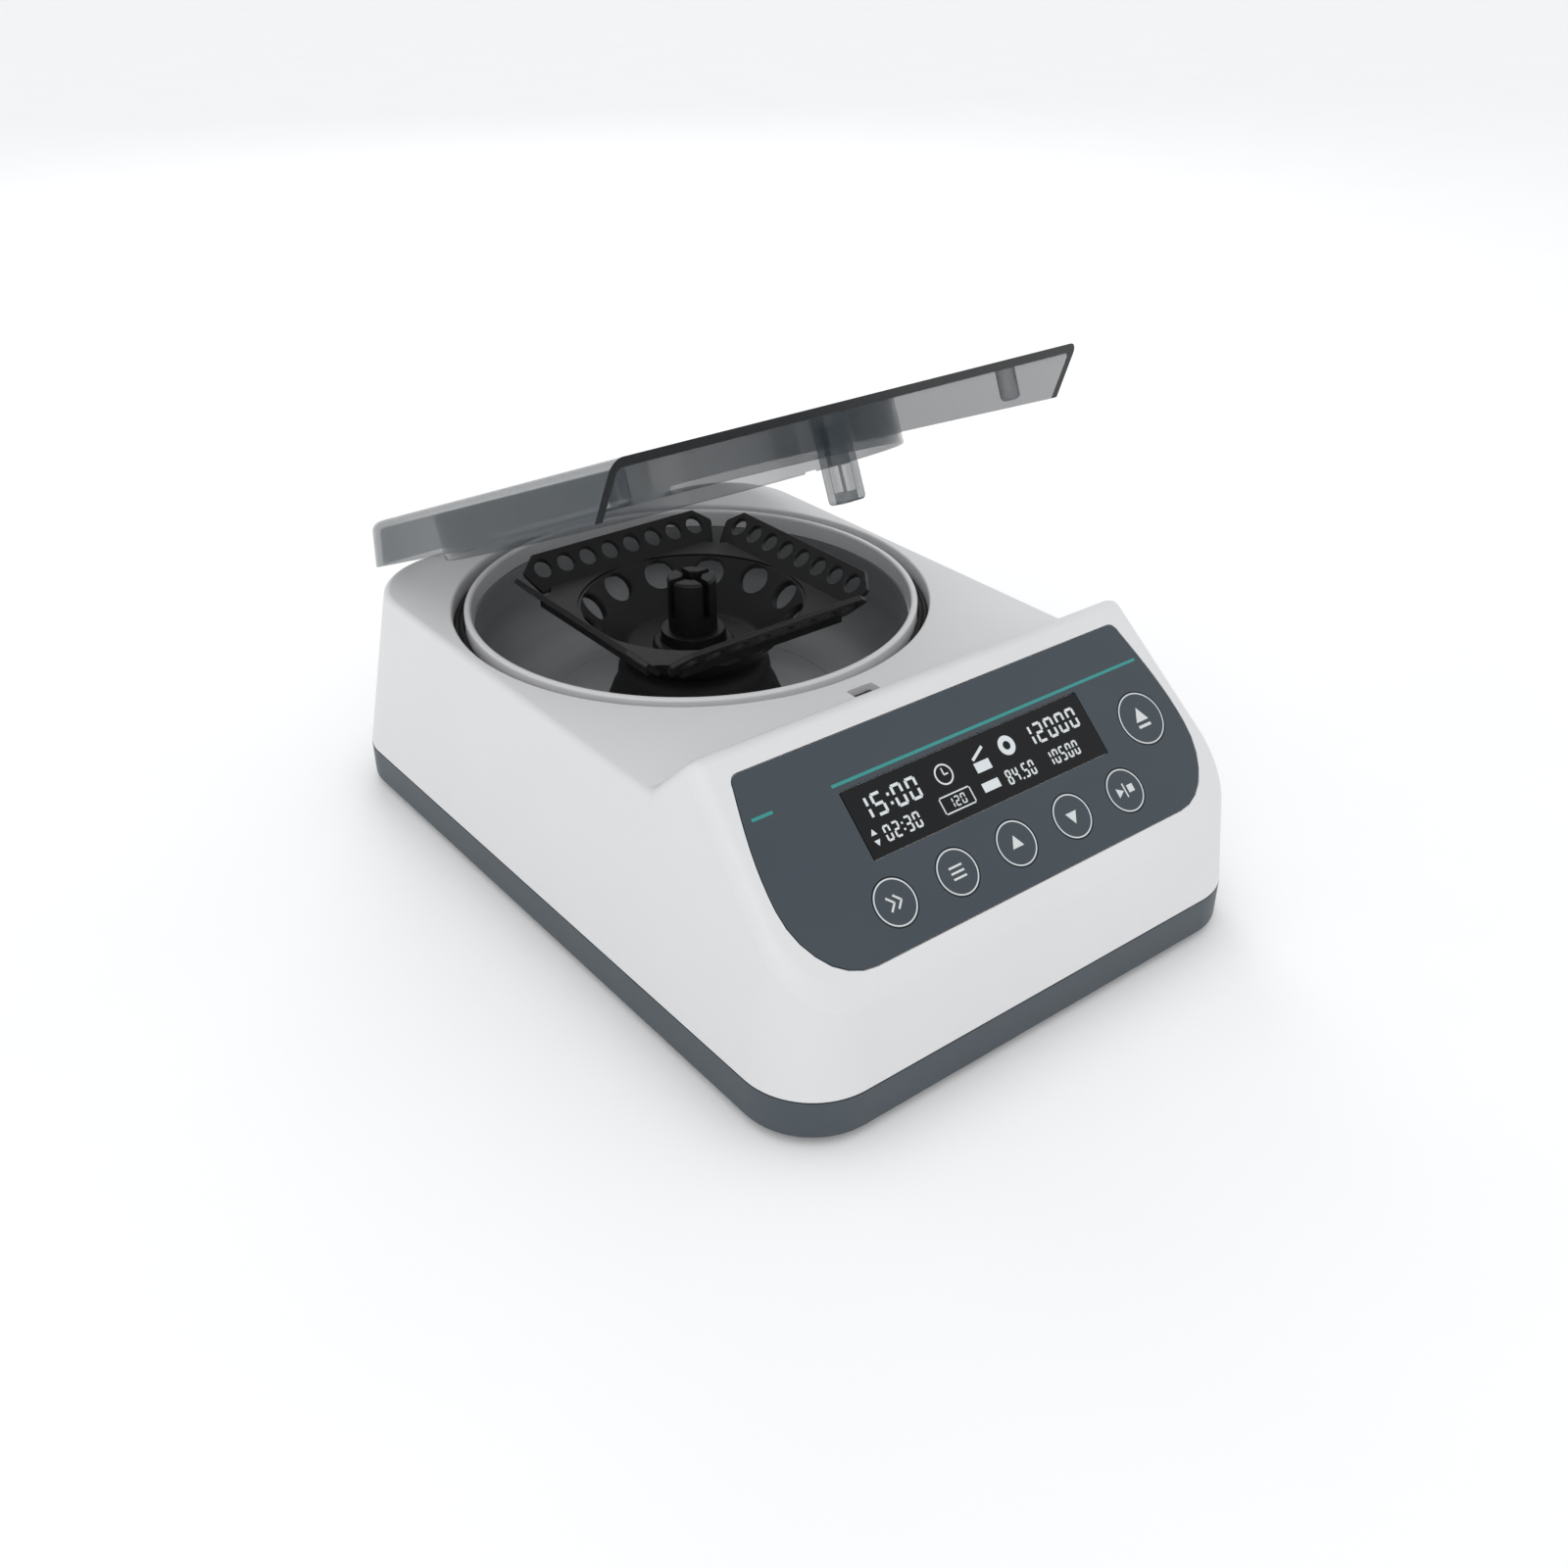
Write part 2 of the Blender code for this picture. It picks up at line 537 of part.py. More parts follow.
def shell_profile(inset, panel_inset):
    """Deck, back of the console and panel, each moved inward."""
    deck = ((0.0, DECK_Z - inset), 0.0)
    shift = Vector((math.sin(BACK_SLOPE), math.cos(BACK_SLOPE))) * inset
    back_face = ((CREASE_Y - shift.x, DECK_Z - shift.y), math.pi - BACK_SLOPE)
    slope = ((ridge_y + math.sin(PANEL_SLOPE) * panel_inset, RIDGE_Z - math.cos(PANEL_SLOPE) * panel_inset),
             PANEL_SLOPE)
    front_plane = ((-beyond, 0.0), math.pi / 2)
    return [(beyond, below), (beyond, deck[0][1]), meet(deck, back_face), meet(back_face, slope),
            meet(slope, front_plane), (-beyond, below)]


top_z = RIDGE_Z + 5 * MM
shell = loft("upper_shell", [body_section(SHELL_BOTTOM_Z, 0.0), body_section(top_z, 0.0)], material=WHITE)
combine(shell, side_prism("shell_side", shell_profile(0.0, 0.0), 2 * BODY_WIDTH, collection=CUTTERS),
        "INTERSECT")
hollow = loft("shell_hollow", [body_section(SHELL_BOTTOM_Z - 2 * MM, WALL), body_section(top_z, WALL)],
              collection=CUTTERS)
combine(hollow, side_prism("hollow_side", shell_profile(WALL, PANEL_RECESS + PANEL_FLOOR), 2 * BODY_WIDTH,
                           collection=CUTTERS), "INTERSECT")
cut(shell, hollow)
# the back pillars end in the deck, the front ones below the circuit board, tied to the side walls
panel_over_screw = RIDGE_Z - (ridge_y - screw_rows[0]) * math.tan(PANEL_SLOPE)
pillar_tops = (panel_over_screw - PILLAR_BELOW_PANEL, DECK_Z - 1 * MM)
pillar_bottom = TRAY_FLOOR_Z + GAP
for number, (x, y) in enumerate(screw_spots):
    height = pillar_tops[screw_rows.index(y)] - pillar_bottom
    pillar = rod(f"pillar_{number}", PILLAR_R, height, (x, y, pillar_bottom + height / 2), steps=16,
                 collection=CUTTERS)
    join(shell, pillar)
tie_z = pillar_tops[0] - TIE_HEIGHT / 2 - 3 * MM
for side in (1, -1):
    join(shell, box(f"pillar_tie_{side}", (TIE_LENGTH, TIE_WALL, TIE_HEIGHT),
                    (side * (screw_x + TIE_LENGTH / 2 - 2 * MM), screw_rows[0], tie_z), collection=CUTTERS))
trim = loft("outside_skin", [body_section(SHELL_BOTTOM_Z - 12 * MM, 0.0), body_section(top_z, 0.0)],
            collection=CUTTERS)
combine(shell, trim, "INTERSECT")
lip = turned("hole_lip", [(HOLE_R + HOLE_LIP, DECK_Z - 1 * MM), (HOLE_R + HOLE_LIP, DECK_Z - HOLE_LIP_DEPTH),
                          (HOLE_R - 1 * MM, DECK_Z - HOLE_LIP_DEPTH), (HOLE_R - 1 * MM, DECK_Z - 1 * MM)],
             (0, ROTOR_Y, 0), collection=CUTTERS)
join(shell, lip)
cut(shell, rod("deck_hole", HOLE_R, 40 * MM, (0, ROTOR_Y, DECK_Z), steps=ROUND_STEPS, collection=CUTTERS))
cut(shell, rods("pillar_bores", SCREW_R + 0.1 * MM, 2 * 24 * MM,
                [Matrix.Translation((x, y, 0)) for x, y in screw_spots]))

# latch slot and the pad that carries the latch
slot_size = (TAB_SIZE[0] + 2 * TAB_CLEARANCE, TAB_SIZE[1] + 2 * TAB_CLEARANCE)
cut(shell, box("latch_slot", (*slot_size, 4 * WALL), (0, TAB_Y, DECK_Z), bevel=0.8 * MM, upright_only=True,
               collection=CUTTERS))
latch_top = DECK_Z - WALL - LATCH_DROP
latch_y = CREASE_Y - GAP - LATCH_SIZE[1] / 2
pad_top = DECK_Z + (CREASE_Y - latch_y) * math.tan(BACK_SLOPE) - WALL
join(shell, box("latch_pad", (LATCH_SIZE[0] - 4 * MM, 8 * MM, pad_top - latch_top - GAP),
                (0, latch_y, (pad_top + latch_top + GAP) / 2), collection=CUTTERS))


# ---------------------------------------------------------------- control panel
def panel_outline(grow):
    """The overlay sheet: flat top and bottom edges joined by sides that swell and curve under."""
    side = []
    for step in range(4):
        angle = math.pi / 2 * (1 - step / 3)
        side.append((PANEL_HALF_TOP - PANEL_CORNER + (PANEL_CORNER + grow) * math.cos(angle),
                     -PANEL_TOP - PANEL_CORNER + (PANEL_CORNER + grow) * math.sin(angle)))
    straight = PANEL_TURN - PANEL_TOP - PANEL_CORNER
    for step in range(1, 6):
        share = step / 5
        side.append((PANEL_HALF_TOP + PANEL_SWELL * math.sin(math.pi / 2 * share) + grow,
                     -PANEL_TOP - PANEL_CORNER - share * straight))
    turn_in = PANEL_HALF_TOP + PANEL_SWELL - PANEL_HALF_BOTTOM + grow
    for step in range(1, 8):
        angle = math.pi / 2 * step / 7
        side.append((PANEL_HALF_BOTTOM + turn_in * math.cos(angle),
                     -PANEL_TURN - (PANEL_BOTTOM - PANEL_TURN + grow) * math.sin(angle)))
    return side + [(-x, y) for x, y in reversed(side)]


key_spots = [(KEY_FIRST_X + i * KEY_PITCH, -KEY_ROW_DOWN, KEY_R) for i in range(KEY_COUNT)]
key_spots.append((LID_KEY_PLACE[0], -LID_KEY_PLACE[1], LID_KEY_R))
cut(shell, plate("panel_recess", panel_outline(GAP), 2 * PANEL_RECESS, parent=panel, collection=CUTTERS))
window_cut = box("display_window", (DISPLAY_SIZE[0] - 2 * DISPLAY_LEDGE, DISPLAY_SIZE[1] - 2 * DISPLAY_LEDGE,
                                    12 * MM), (0, -DISPLAY_DOWN, 0), parent=panel, collection=CUTTERS)
cut(shell, window_cut)
for number, (x, y, radius) in enumerate(key_spots):
    cut(shell, rod(f"key_well_{number}", radius + KEY_WELL, 12 * MM, (x, y, 0), parent=panel,
                   collection=CUTTERS))

sheet_z = -PANEL_RECESS + GAP + PANEL_SHEET / 2 + 0.05 * MM
overlay = plate("panel_overlay", panel_outline(0.0), PANEL_SHEET, (0, 0, sheet_z), parent=panel,
                material=OVERLAY)
cut(overlay, box("overlay_window", (DISPLAY_SIZE[0] + 2 * GAP, DISPLAY_SIZE[1] + 2 * GAP, 12 * MM),
                 (0, -DISPLAY_DOWN, 0), parent=panel, collection=CUTTERS))
for number, (x, y, radius) in enumerate(key_spots):
    cut(overlay, rod(f"overlay_hole_{number}", radius + GAP, 12 * MM, (x, y, 0), steps=20, parent=panel,
                     collection=CUTTERS))
sheet_top = sheet_z + PANEL_SHEET / 2
box("display_glass", (*DISPLAY_SIZE, DISPLAY_THICK), (0, -DISPLAY_DOWN, sheet_top - DISPLAY_THICK / 2),
    parent=panel, material=GLASS_BLACK)
module_top = -PANEL_RECESS - PANEL_FLOOR - GAP
box("display_module", MODULE_SIZE, (0, -DISPLAY_DOWN, module_top - MODULE_SIZE[2] / 2), bevel=0.5 * MM,
    upright_only=True, parent=panel, material=BLACK)

# each key: cap flush with the overlay, a flange that traps it, a stem down to its switch
flange_top = sheet_z - PANEL_SHEET / 2 - 0.15 * MM
switch_top = -BOARD_DEPTH + SWITCH_HEIGHT
stem_bottom = switch_top + KEY_TRAVEL + 0.2 * MM
for number, (x, y, radius) in enumerate(key_spots):
    name = f"key_{number}" if number < KEY_COUNT else "lid_open_key"
    flange_r = radius + KEY_FLANGE_REACH
    profile = [(0, sheet_top), (radius, sheet_top), (radius, flange_top), (flange_r, flange_top),
               (flange_r, flange_top - KEY_FLANGE), (KEY_STEM_R, flange_top - KEY_FLANGE),
               (KEY_STEM_R, stem_bottom), (0, stem_bottom)]
    turned(name, profile, (x, y, 0), steps=20, closed=False, parent=panel, material=OVERLAY)

board = box("control_board", (*BOARD_SIZE, BOARD), (0, -BOARD_DOWN, -BOARD_DEPTH - BOARD / 2), parent=panel,
            material=CIRCUIT)
for number, (x, y, radius) in enumerate(key_spots):
    switch_height = switch_top + BOARD_DEPTH + BOARD / 2
    join(board, box(f"key_switch_{number}", (SWITCH_SIZE, SWITCH_SIZE, switch_height),
                    (x, y, switch_top - switch_height / 2), parent=panel, collection=CUTTERS))
processor_z = -BOARD_DEPTH - BOARD / 2 - PROCESSOR_SIZE[2] / 2
join(board, box("board_processor", PROCESSOR_SIZE, (20 * MM, -BOARD_DOWN, processor_z), parent=panel,
                collection=CUTTERS))
# standoffs moulded on the back of the panel carry the board
standoff_height = BOARD_DEPTH - GAP - PANEL_RECESS - PANEL_FLOOR + 1 * MM
standoff_z = -BOARD_DEPTH + GAP + standoff_height / 2
for number, (sx, sy) in enumerate(((1, 1), (-1, 1), (1, -1), (-1, -1))):
    x, y = sx * STANDOFF_REACH[0], -BOARD_DOWN + sy * STANDOFF_REACH[1]
    join(shell, rod(f"board_standoff_{number}", STANDOFF_R, standoff_height, (x, y, standoff_z), steps=12,
                    parent=panel, collection=CUTTERS))

# ---------------------------------------------------------------- chamber
RIM_TOP_Z = DECK_Z + 0.02 * MM
rim_bottom = RIM_TOP_Z - RIM_DEPTH
soft = 0.3 * RIM_EDGE
profile = [(RIM_R - RIM_EDGE, RIM_TOP_Z), (RIM_R - soft, RIM_TOP_Z - soft), (RIM_R, RIM_TOP_Z - RIM_EDGE),
           (RIM_R, rim_bottom), (RIM_BORE_R, rim_bottom), (RIM_BORE_R, RIM_TOP_Z - RIM_EDGE),
           (RIM_BORE_R + soft, RIM_TOP_Z - soft), (RIM_BORE_R + RIM_EDGE, RIM_TOP_Z)]
turned("chamber_rim", profile, (0, ROTOR_Y, 0), material=WHITE)

bowl_top = rim_bottom - GAP
flange_z = DECK_Z - HOLE_LIP_DEPTH - GAP
flange_out = HOLE_R + HOLE_LIP - 0.2 * MM
flange_thick = 1.4 * MM
BOWL_ARC = 4
inner = [(BOWL_R, bowl_top)]
outer = []
for step in range(BOWL_ARC + 1):
    angle = math.pi / 2 * step / BOWL_ARC
    inner.append((BOWL_R - BOWL_FILLET + BOWL_FILLET * math.cos(angle),
                  BOWL_FLOOR_Z + BOWL_FILLET - BOWL_FILLET * math.sin(angle)))
    outer.append((BOWL_R - BOWL_FILLET + (BOWL_FILLET + BOWL_WALL) * math.cos(angle),
                  BOWL_FLOOR_Z + BOWL_FILLET - (BOWL_FILLET + BOWL_WALL) * math.sin(angle)))
bowl_hole = BOOT_NECK_R - 1 * MM
outer_side = [(RIM_R - 0.2 * MM, bowl_top), (RIM_R - 0.2 * MM, flange_z), (flange_out, flange_z),
              (flange_out, flange_z - flange_thick), (BOWL_R + BOWL_WALL, flange_z - flange_thick)]
profile = outer_side + outer + [(bowl_hole, BOWL_FLOOR_Z - BOWL_WALL), (bowl_hole, BOWL_FLOOR_Z)]
turned("chamber_bowl", profile + inner[::-1], (0, ROTOR_Y, 0), material=BOWL_METAL)

seal_top = flange_z + SEAL_HEIGHT
profile = [(HOLE_R - GAP, seal_top), (HOLE_R - GAP, flange_z + GAP), (RIM_R + GAP, flange_z + GAP),
           (RIM_R + GAP, seal_top)]
turned("groove_seal", profile, (0, ROTOR_Y, 0), material=RUBBER)

boot_base = BOWL_FLOOR_Z + GAP
profile = [(BOOT_NECK_R - 8 * MM, BOOT_TOP_Z), (BOOT_NECK_R - 2 * MM, BOOT_TOP_Z - 1 * MM),
           (BOOT_NECK_R, BOOT_TOP_Z - 4 * MM), (BOOT_NECK_R + 0.6 * MM, boot_base + 10 * MM),
           (BOOT_R - 1 * MM, boot_base + 6 * MM), (BOOT_R, boot_base + 3 * MM), (BOOT_R, boot_base),
           (BOOT_NECK_R - BOOT_WALL, boot_base), (BOOT_NECK_R - BOOT_WALL, BOOT_TOP_Z - 5 * MM),
           (BOOT_NECK_R - 4 * MM, BOOT_TOP_Z - BOOT_WALL - 0.5 * MM),
           (SHAFT_R + 2 * MM, BOOT_TOP_Z - BOOT_WALL), (SHAFT_R + 2 * MM, BOOT_TOP_Z)]
turned("motor_boot", profile, (0, ROTOR_Y, 0), steps=32, material=RUBBER)

# ---------------------------------------------------------------- motor on its soft mounts
mount_plate = box("motor_plate", (PLATE_SIZE, PLATE_SIZE, MOUNT_PLATE),
                  (0, ROTOR_Y, MOUNT_PLATE_Z + MOUNT_PLATE / 2), bevel=8 * MM, upright_only=True,
                  material=STEEL)
cut(mount_plate, rod("plate_hole", MOTOR_R + GAP, 20 * MM, (0, ROTOR_Y, MOUNT_PLATE_Z), steps=32,
                     collection=CUTTERS))
for number, (x, y) in enumerate(mount_spots):
    waist = SHOCK_R - 1.5 * MM
    low = POST_TOP_Z + GAP
    profile = [(0, low + SHOCK_HEIGHT), (SHOCK_R, low + SHOCK_HEIGHT), (waist, low + SHOCK_HEIGHT / 2),
               (SHOCK_R, low), (0, low)]
    turned(f"shock_mount_{number}", profile, (x, y, 0), steps=16, closed=False, material=RUBBER)

motor_flange_r = MOTOR_R + 4 * MM
flange_low = MOUNT_PLATE_Z + MOUNT_PLATE + GAP
bore = SHAFT_R + GAP
profile = [(bore, MOTOR_TOP_Z), (MOTOR_R - 2 * MM, MOTOR_TOP_Z), (MOTOR_R, MOTOR_TOP_Z - 2 * MM),
           (MOTOR_R, flange_low + 2.5 * MM), (motor_flange_r, flange_low + 2.5 * MM),
           (motor_flange_r, flange_low), (MOTOR_R, flange_low), (MOTOR_R, MOTOR_BOTTOM_Z),
           (0, MOTOR_BOTTOM_Z), (0, MOTOR_BOTTOM_Z + 4 * MM), (bore, MOTOR_BOTTOM_Z + 4 * MM)]
motor = turned("motor", profile, (0, ROTOR_Y, 0), steps=24, material=STEEL)

# ---------------------------------------------------------------- rotor, clutch and shaft
SHAFT_TOP_Z = CLUTCH_TOP_Z - 9 * MM
rod("motor_shaft", SHAFT_R, SHAFT_TOP_Z - MOTOR_BOTTOM_Z - 5 * MM,
    (0, 0, (SHAFT_TOP_Z + MOTOR_BOTTOM_Z + 5 * MM) / 2), steps=20, parent=spin_axis, material=STEEL)

cone_rise = math.tan(CONE_ANGLE)
cone_top_z = WEB_Z - 0.6 * MM
cone_top_r = TUBE_CIRCLE_R + (cone_top_z - TUBE_CIRCLE_Z) / cone_rise
wall_across = CONE_WALL / math.sin(CONE_ANGLE)
bore = SHAFT_R + 2 * MM
profile = [(cone_top_r, cone_top_z), (cone_top_r + wall_across, cone_top_z),
           (ROTOR_FLOOR_R + wall_across / 2, ROTOR_FLOOR_Z - CONE_WALL),
           (bore, ROTOR_FLOOR_Z - CONE_WALL), (bore, HUB_TOP_Z), (HUB_R - 0.6 * MM, HUB_TOP_Z),
           (HUB_R, HUB_TOP_Z - 0.6 * MM), (HUB_R, HUB_STEP_Z), (HUB_STEP_R - 0.5 * MM, HUB_STEP_Z),
           (HUB_STEP_R, HUB_STEP_Z - 0.5 * MM), (HUB_STEP_R, ROTOR_FLOOR_Z), (ROTOR_FLOOR_R, ROTOR_FLOOR_Z)]
rotor = turned("rotor_body", profile, steps=36, parent=spin_axis, material=BLACK)

web_half = STRIP_DISTANCE - (STRIP_Z - WEB_Z) + STRIP_THICKNESS
web = box("rotor_web", (2 * web_half, 2 * web_half, WEB_THICKNESS), (0, 0, WEB_Z - WEB_THICKNESS / 2),
          parent=spin_axis, collection=CUTTERS)
notch = (NOTCH_REACH + NOTCH_R) / math.sqrt(2)
cut(web, rods("rotor_notches", NOTCH_R, 20 * MM,
              [Matrix.Translation((sx * notch, sy * notch, WEB_Z)) for sx in (1, -1) for sy in (1, -1)],
              steps=24, parent=spin_axis))
cut(web, rod("rotor_mouth", cone_top_r + 0.35 * wall_across, 20 * MM, (0, 0, WEB_Z), steps=36,
             parent=spin_axis, collection=CUTTERS))
join(rotor, web)
strip_low = -(STRIP_Z - WEB_Z + WEB_THICKNESS * 0.35) * math.sqrt(2)
strip_half = (STRIP_HOLES - 1) / 2 * STRIP_PITCH + STRIP_END
strip_side = [(strip_half - 3.3 * MM, strip_low), (strip_half, -0.8 * MM), (strip_half, 0.6 * MM),
              (strip_half - 5.4 * MM, STRIP_UPPER)]
strip_outline = strip_side + [(-along, up) for along, up in reversed(strip_side)]
hole_frames = []
for side in range(STRIP_COUNT):
    around = Matrix.Rotation(side * 2 * math.pi / STRIP_COUNT, 4, "Z")
    lean = Matrix.Translation((0, STRIP_DISTANCE, STRIP_Z)) @ Matrix.Rotation(CONE_ANGLE, 4, "X")
    strip = plate(f"strip_plate_{side}", strip_outline, STRIP_THICKNESS, parent=spin_axis,
                  collection=CUTTERS)
    strip.data.transform(Matrix.Translation((0, 0, -STRIP_THICKNESS / 2)))
    strip.data.transform(around @ lean)
    join(rotor, strip)
    for hole in range(STRIP_HOLES):
        along = (hole - (STRIP_HOLES - 1) / 2) * STRIP_PITCH
        hole_frames.append(around @ lean @ Matrix.Translation((along, 0, 0)))
cut(rotor, rods("strip_holes", STRIP_HOLE_R, 10 * MM, hole_frames, steps=10, parent=spin_axis))
tube_frames = []
for tube in range(TUBE_COUNT):
    around = Matrix.Rotation((tube + 0.5) * 2 * math.pi / TUBE_COUNT, 4, "Z")
    lean = Matrix.Translation((0, TUBE_CIRCLE_R, TUBE_CIRCLE_Z)) @ Matrix.Rotation(CONE_ANGLE, 4, "X")
    tube_frames.append(around @ lean)
cut(rotor, rods("tube_holes", TUBE_HOLE_R, 12 * MM, tube_frames, steps=12, parent=spin_axis))

neck = bore - GAP
profile = [(SHAFT_R + GAP, CLUTCH_TOP_Z), (CLUTCH_R - 1 * MM, CLUTCH_TOP_Z),
           (CLUTCH_R, CLUTCH_TOP_Z - 1 * MM), (CLUTCH_R, HUB_TOP_Z + GAP), (neck, HUB_TOP_Z + GAP),
           (neck, ROTOR_FLOOR_Z - CONE_WALL), (SHAFT_R + GAP, ROTOR_FLOOR_Z - CONE_WALL)]
clutch = turned("rotor_clutch", profile, steps=24, parent=spin_axis, material=BLACK)
slot_width, slot_depth = CLUTCH_SLOT
for turn, plan in enumerate(((slot_width, 4 * CLUTCH_R), (4 * CLUTCH_R, slot_width))):
    cut(clutch, box(f"clutch_slot_{turn}", (*plan, 2 * slot_depth), (0, 0, CLUTCH_TOP_Z), parent=spin_axis,
                    collection=CUTTERS))


# ---------------------------------------------------------------- lid, drawn closed and turned by its axis
def lid_section(z, inset):
    return [(x, y - HINGE_Y, z - HINGE_Z) for x, y, z in body_section(z, inset)]


def lid_place(x, y, z):
    return (x, y - HINGE_Y, z - HINGE_Z)


LID_BOTTOM_Z = DECK_Z + LID_GAP
drop = LID_EDGE_R * (1 - math.cos(math.radians(45)))
lid = loft("lid_shell", [lid_section(LID_BOTTOM_Z, 0.0), lid_section(LID_TOP_Z - LID_EDGE_R, 0.0),
                         lid_section(LID_TOP_Z - drop, drop), lid_section(LID_TOP_Z, LID_EDGE_R)],
           parent=lid_axis, material=SMOKE)
ceiling = LID_TOP_Z - LID_WALL
cut(lid, loft("lid_hollow", [lid_section(LID_BOTTOM_Z - 5 * MM, LID_WALL),
                             lid_section(ceiling - 1.5 * MM, LID_WALL),
                             lid_section(ceiling, LID_WALL + 1.5 * MM)],
              parent=lid_axis, collection=CUTTERS))
# the front follows the console's rear face; the tab, which passes through the deck, is joined after
front_foot = (CREASE_Y + LID_FRONT_GAP / math.sin(BACK_SLOPE) - HINGE_Y, DECK_Z - HINGE_Z)
reach = LID_HEIGHT * 4
rise = reach * math.tan(BACK_SLOPE)
slant = side_prism("lid_front_cut", [(front_foot[0] + reach, front_foot[1] - rise),
                                     (front_foot[0] - reach, front_foot[1] + rise),
                                     (front_foot[0] - 3 * reach, front_foot[1] + rise),
                                     (front_foot[0] - 3 * reach, front_foot[1] - rise)],
                   2 * BODY_WIDTH, parent=lid_axis, collection=CUTTERS)
cut(lid, slant)
ring = turned("lid_ring", [(LID_RING_R, ceiling + 0.5 * MM), (LID_RING_R, LID_RING_BOTTOM_Z),
                           (LID_RING_R - LID_RING_WALL, LID_RING_BOTTOM_Z),
                           (LID_RING_R - LID_RING_WALL, ceiling + 0.5 * MM)],
              lid_place(0, ROTOR_Y, 0), parent=lid_axis, collection=CUTTERS)
join(lid, ring)
tab_height = ceiling + 0.5 * MM - TAB_BOTTOM_Z
tab = box("latch_tab", (*TAB_SIZE, tab_height), lid_place(0, TAB_Y, TAB_BOTTOM_Z + tab_height / 2),
          bevel=1.2 * MM, parent=lid_axis, collection=CUTTERS)
join(lid, tab)
boss_x = BODY_WIDTH / 2 - BOSS_FROM_SIDE
boss_z = ceiling + 0.5 * MM - BOSS_HEIGHT / 2
for side in (1, -1):
    join(lid, rod(f"bumper_boss_{side}", BOSS_R, BOSS_HEIGHT,
                  lid_place(side * boss_x, CREASE_Y + BOSS_FROM_CREASE, boss_z), steps=16, parent=lid_axis,
                  collection=CUTTERS))
cut(lid, box("tab_core", (TAB_SIZE[0] - 2 * TAB_WALL, TAB_SIZE[1] - 2 * TAB_WALL, tab_height),
             lid_place(0, TAB_Y, TAB_BOTTOM_Z + tab_height / 2 - 2 * TAB_WALL), parent=lid_axis,
             collection=CUTTERS))
cut(lid, box("tab_window", (WINDOW_SIZE[0], 4 * TAB_SIZE[1], WINDOW_SIZE[1]), lid_place(0, TAB_Y, WINDOW_Z),
             parent=lid_axis, collection=CUTTERS))
for side in (1, -1):
    knuckle = rod(f"knuckle_{side}", KNUCKLE_R, KNUCKLE_WIDTH, (side * HINGE_X, 0, 0), axis="X", steps=20,
                  parent=lid_axis, collection=CUTTERS)
    join(lid, knuckle)
    arm_height = LID_BOTTOM_Z + 5 * MM - HINGE_Z
    join(lid, box(f"knuckle_arm_{side}", (KNUCKLE_WIDTH, 2.6 * MM, arm_height),
                  (side * HINGE_X, wall_y(LID_BOTTOM_Z) - HINGE_Y - 1.5 * MM, arm_height / 2),
                  parent=lid_axis, collection=CUTTERS))
cut(lid, rods("knuckle_bores", HINGE_PIN_R + GAP, 4 * HINGE_X,
              [Matrix.Rotation(math.pi / 2, 4, "Y")], steps=16, parent=lid_axis))

# ---------------------------------------------------------------- hinge brackets and pins
bracket_width = KNUCKLE_WIDTH + 2 * GAP + 2 * EAR_WIDTH
bracket_top = DECK_Z - GAP
bracket_low = bracket_top - BRACKET_HEIGHT
for name, side in (("right", 1), ("left", -1)):
    x = side * HINGE_X
    back_face = wall_y(DECK_Z) - 0.2 * MM
    front_face = back_face - BRACKET_DEPTH
    cut(shell, box(f"hinge_notch_{name}", (bracket_width + 2 * GAP, 30 * MM, 30 * MM),
                   (x, front_face - GAP + 15 * MM, bracket_low - GAP + 15 * MM), collection=CUTTERS))
    bracket = box(f"hinge_bracket_{name}", (bracket_width, BRACKET_DEPTH, BRACKET_HEIGHT),
                  (x, (back_face + front_face) / 2, (bracket_top + bracket_low) / 2), material=WHITE)
    join(bracket, rod(f"hinge_ears_{name}", KNUCKLE_R, bracket_width, (x, HINGE_Y, HINGE_Z), axis="X",
                      steps=20, collection=CUTTERS))
    cut(bracket, box(f"knuckle_room_{name}", (KNUCKLE_WIDTH + 2 * GAP, 20 * MM, 20 * MM),
                     (x, HINGE_Y - KNUCKLE_R - 1 * MM + 10 * MM, HINGE_Z + 10 * MM - KNUCKLE_R - 1 * MM),
                     collection=CUTTERS))
    cut(bracket, rod(f"ear_bore_{name}", HINGE_PIN_R + GAP, 2 * bracket_width, (x, HINGE_Y, HINGE_Z),
                     axis="X", steps=16, collection=CUTTERS))
    rod(f"hinge_pin_{name}", HINGE_PIN_R, bracket_width, (x, HINGE_Y, HINGE_Z), axis="X", steps=16,
        material=STEEL)

# ---------------------------------------------------------------- lid latch
bolt_size = (WINDOW_SIZE[0] - 2 * BOLT_SIDE_PLAY, WINDOW_SIZE[1] - 2 * BOLT_HEIGHT_PLAY)
bolt_z = WINDOW_Z - BOLT_BELOW_WINDOW
latch_body = box("latch_body", LATCH_SIZE, (0, latch_y, latch_top - LATCH_SIZE[2] / 2), material=BLACK)
latch_front = latch_y - LATCH_SIZE[1] / 2
cut(latch_body, box("bolt_channel", (bolt_size[0] + 2 * GAP, 3 * LATCH_SIZE[1], bolt_size[1] + 2 * GAP),
                    (0, latch_front, bolt_z), collection=CUTTERS))
bolt_tip = TAB_Y - TAB_SIZE[1] / 2 - BOLT_BACK
bolt_tail = latch_front - 1 * MM
box("latch_bolt", (bolt_size[0], bolt_tip - bolt_tail, bolt_size[1]), (0, (bolt_tip + bolt_tail) / 2, bolt_z),
    material=STEEL)

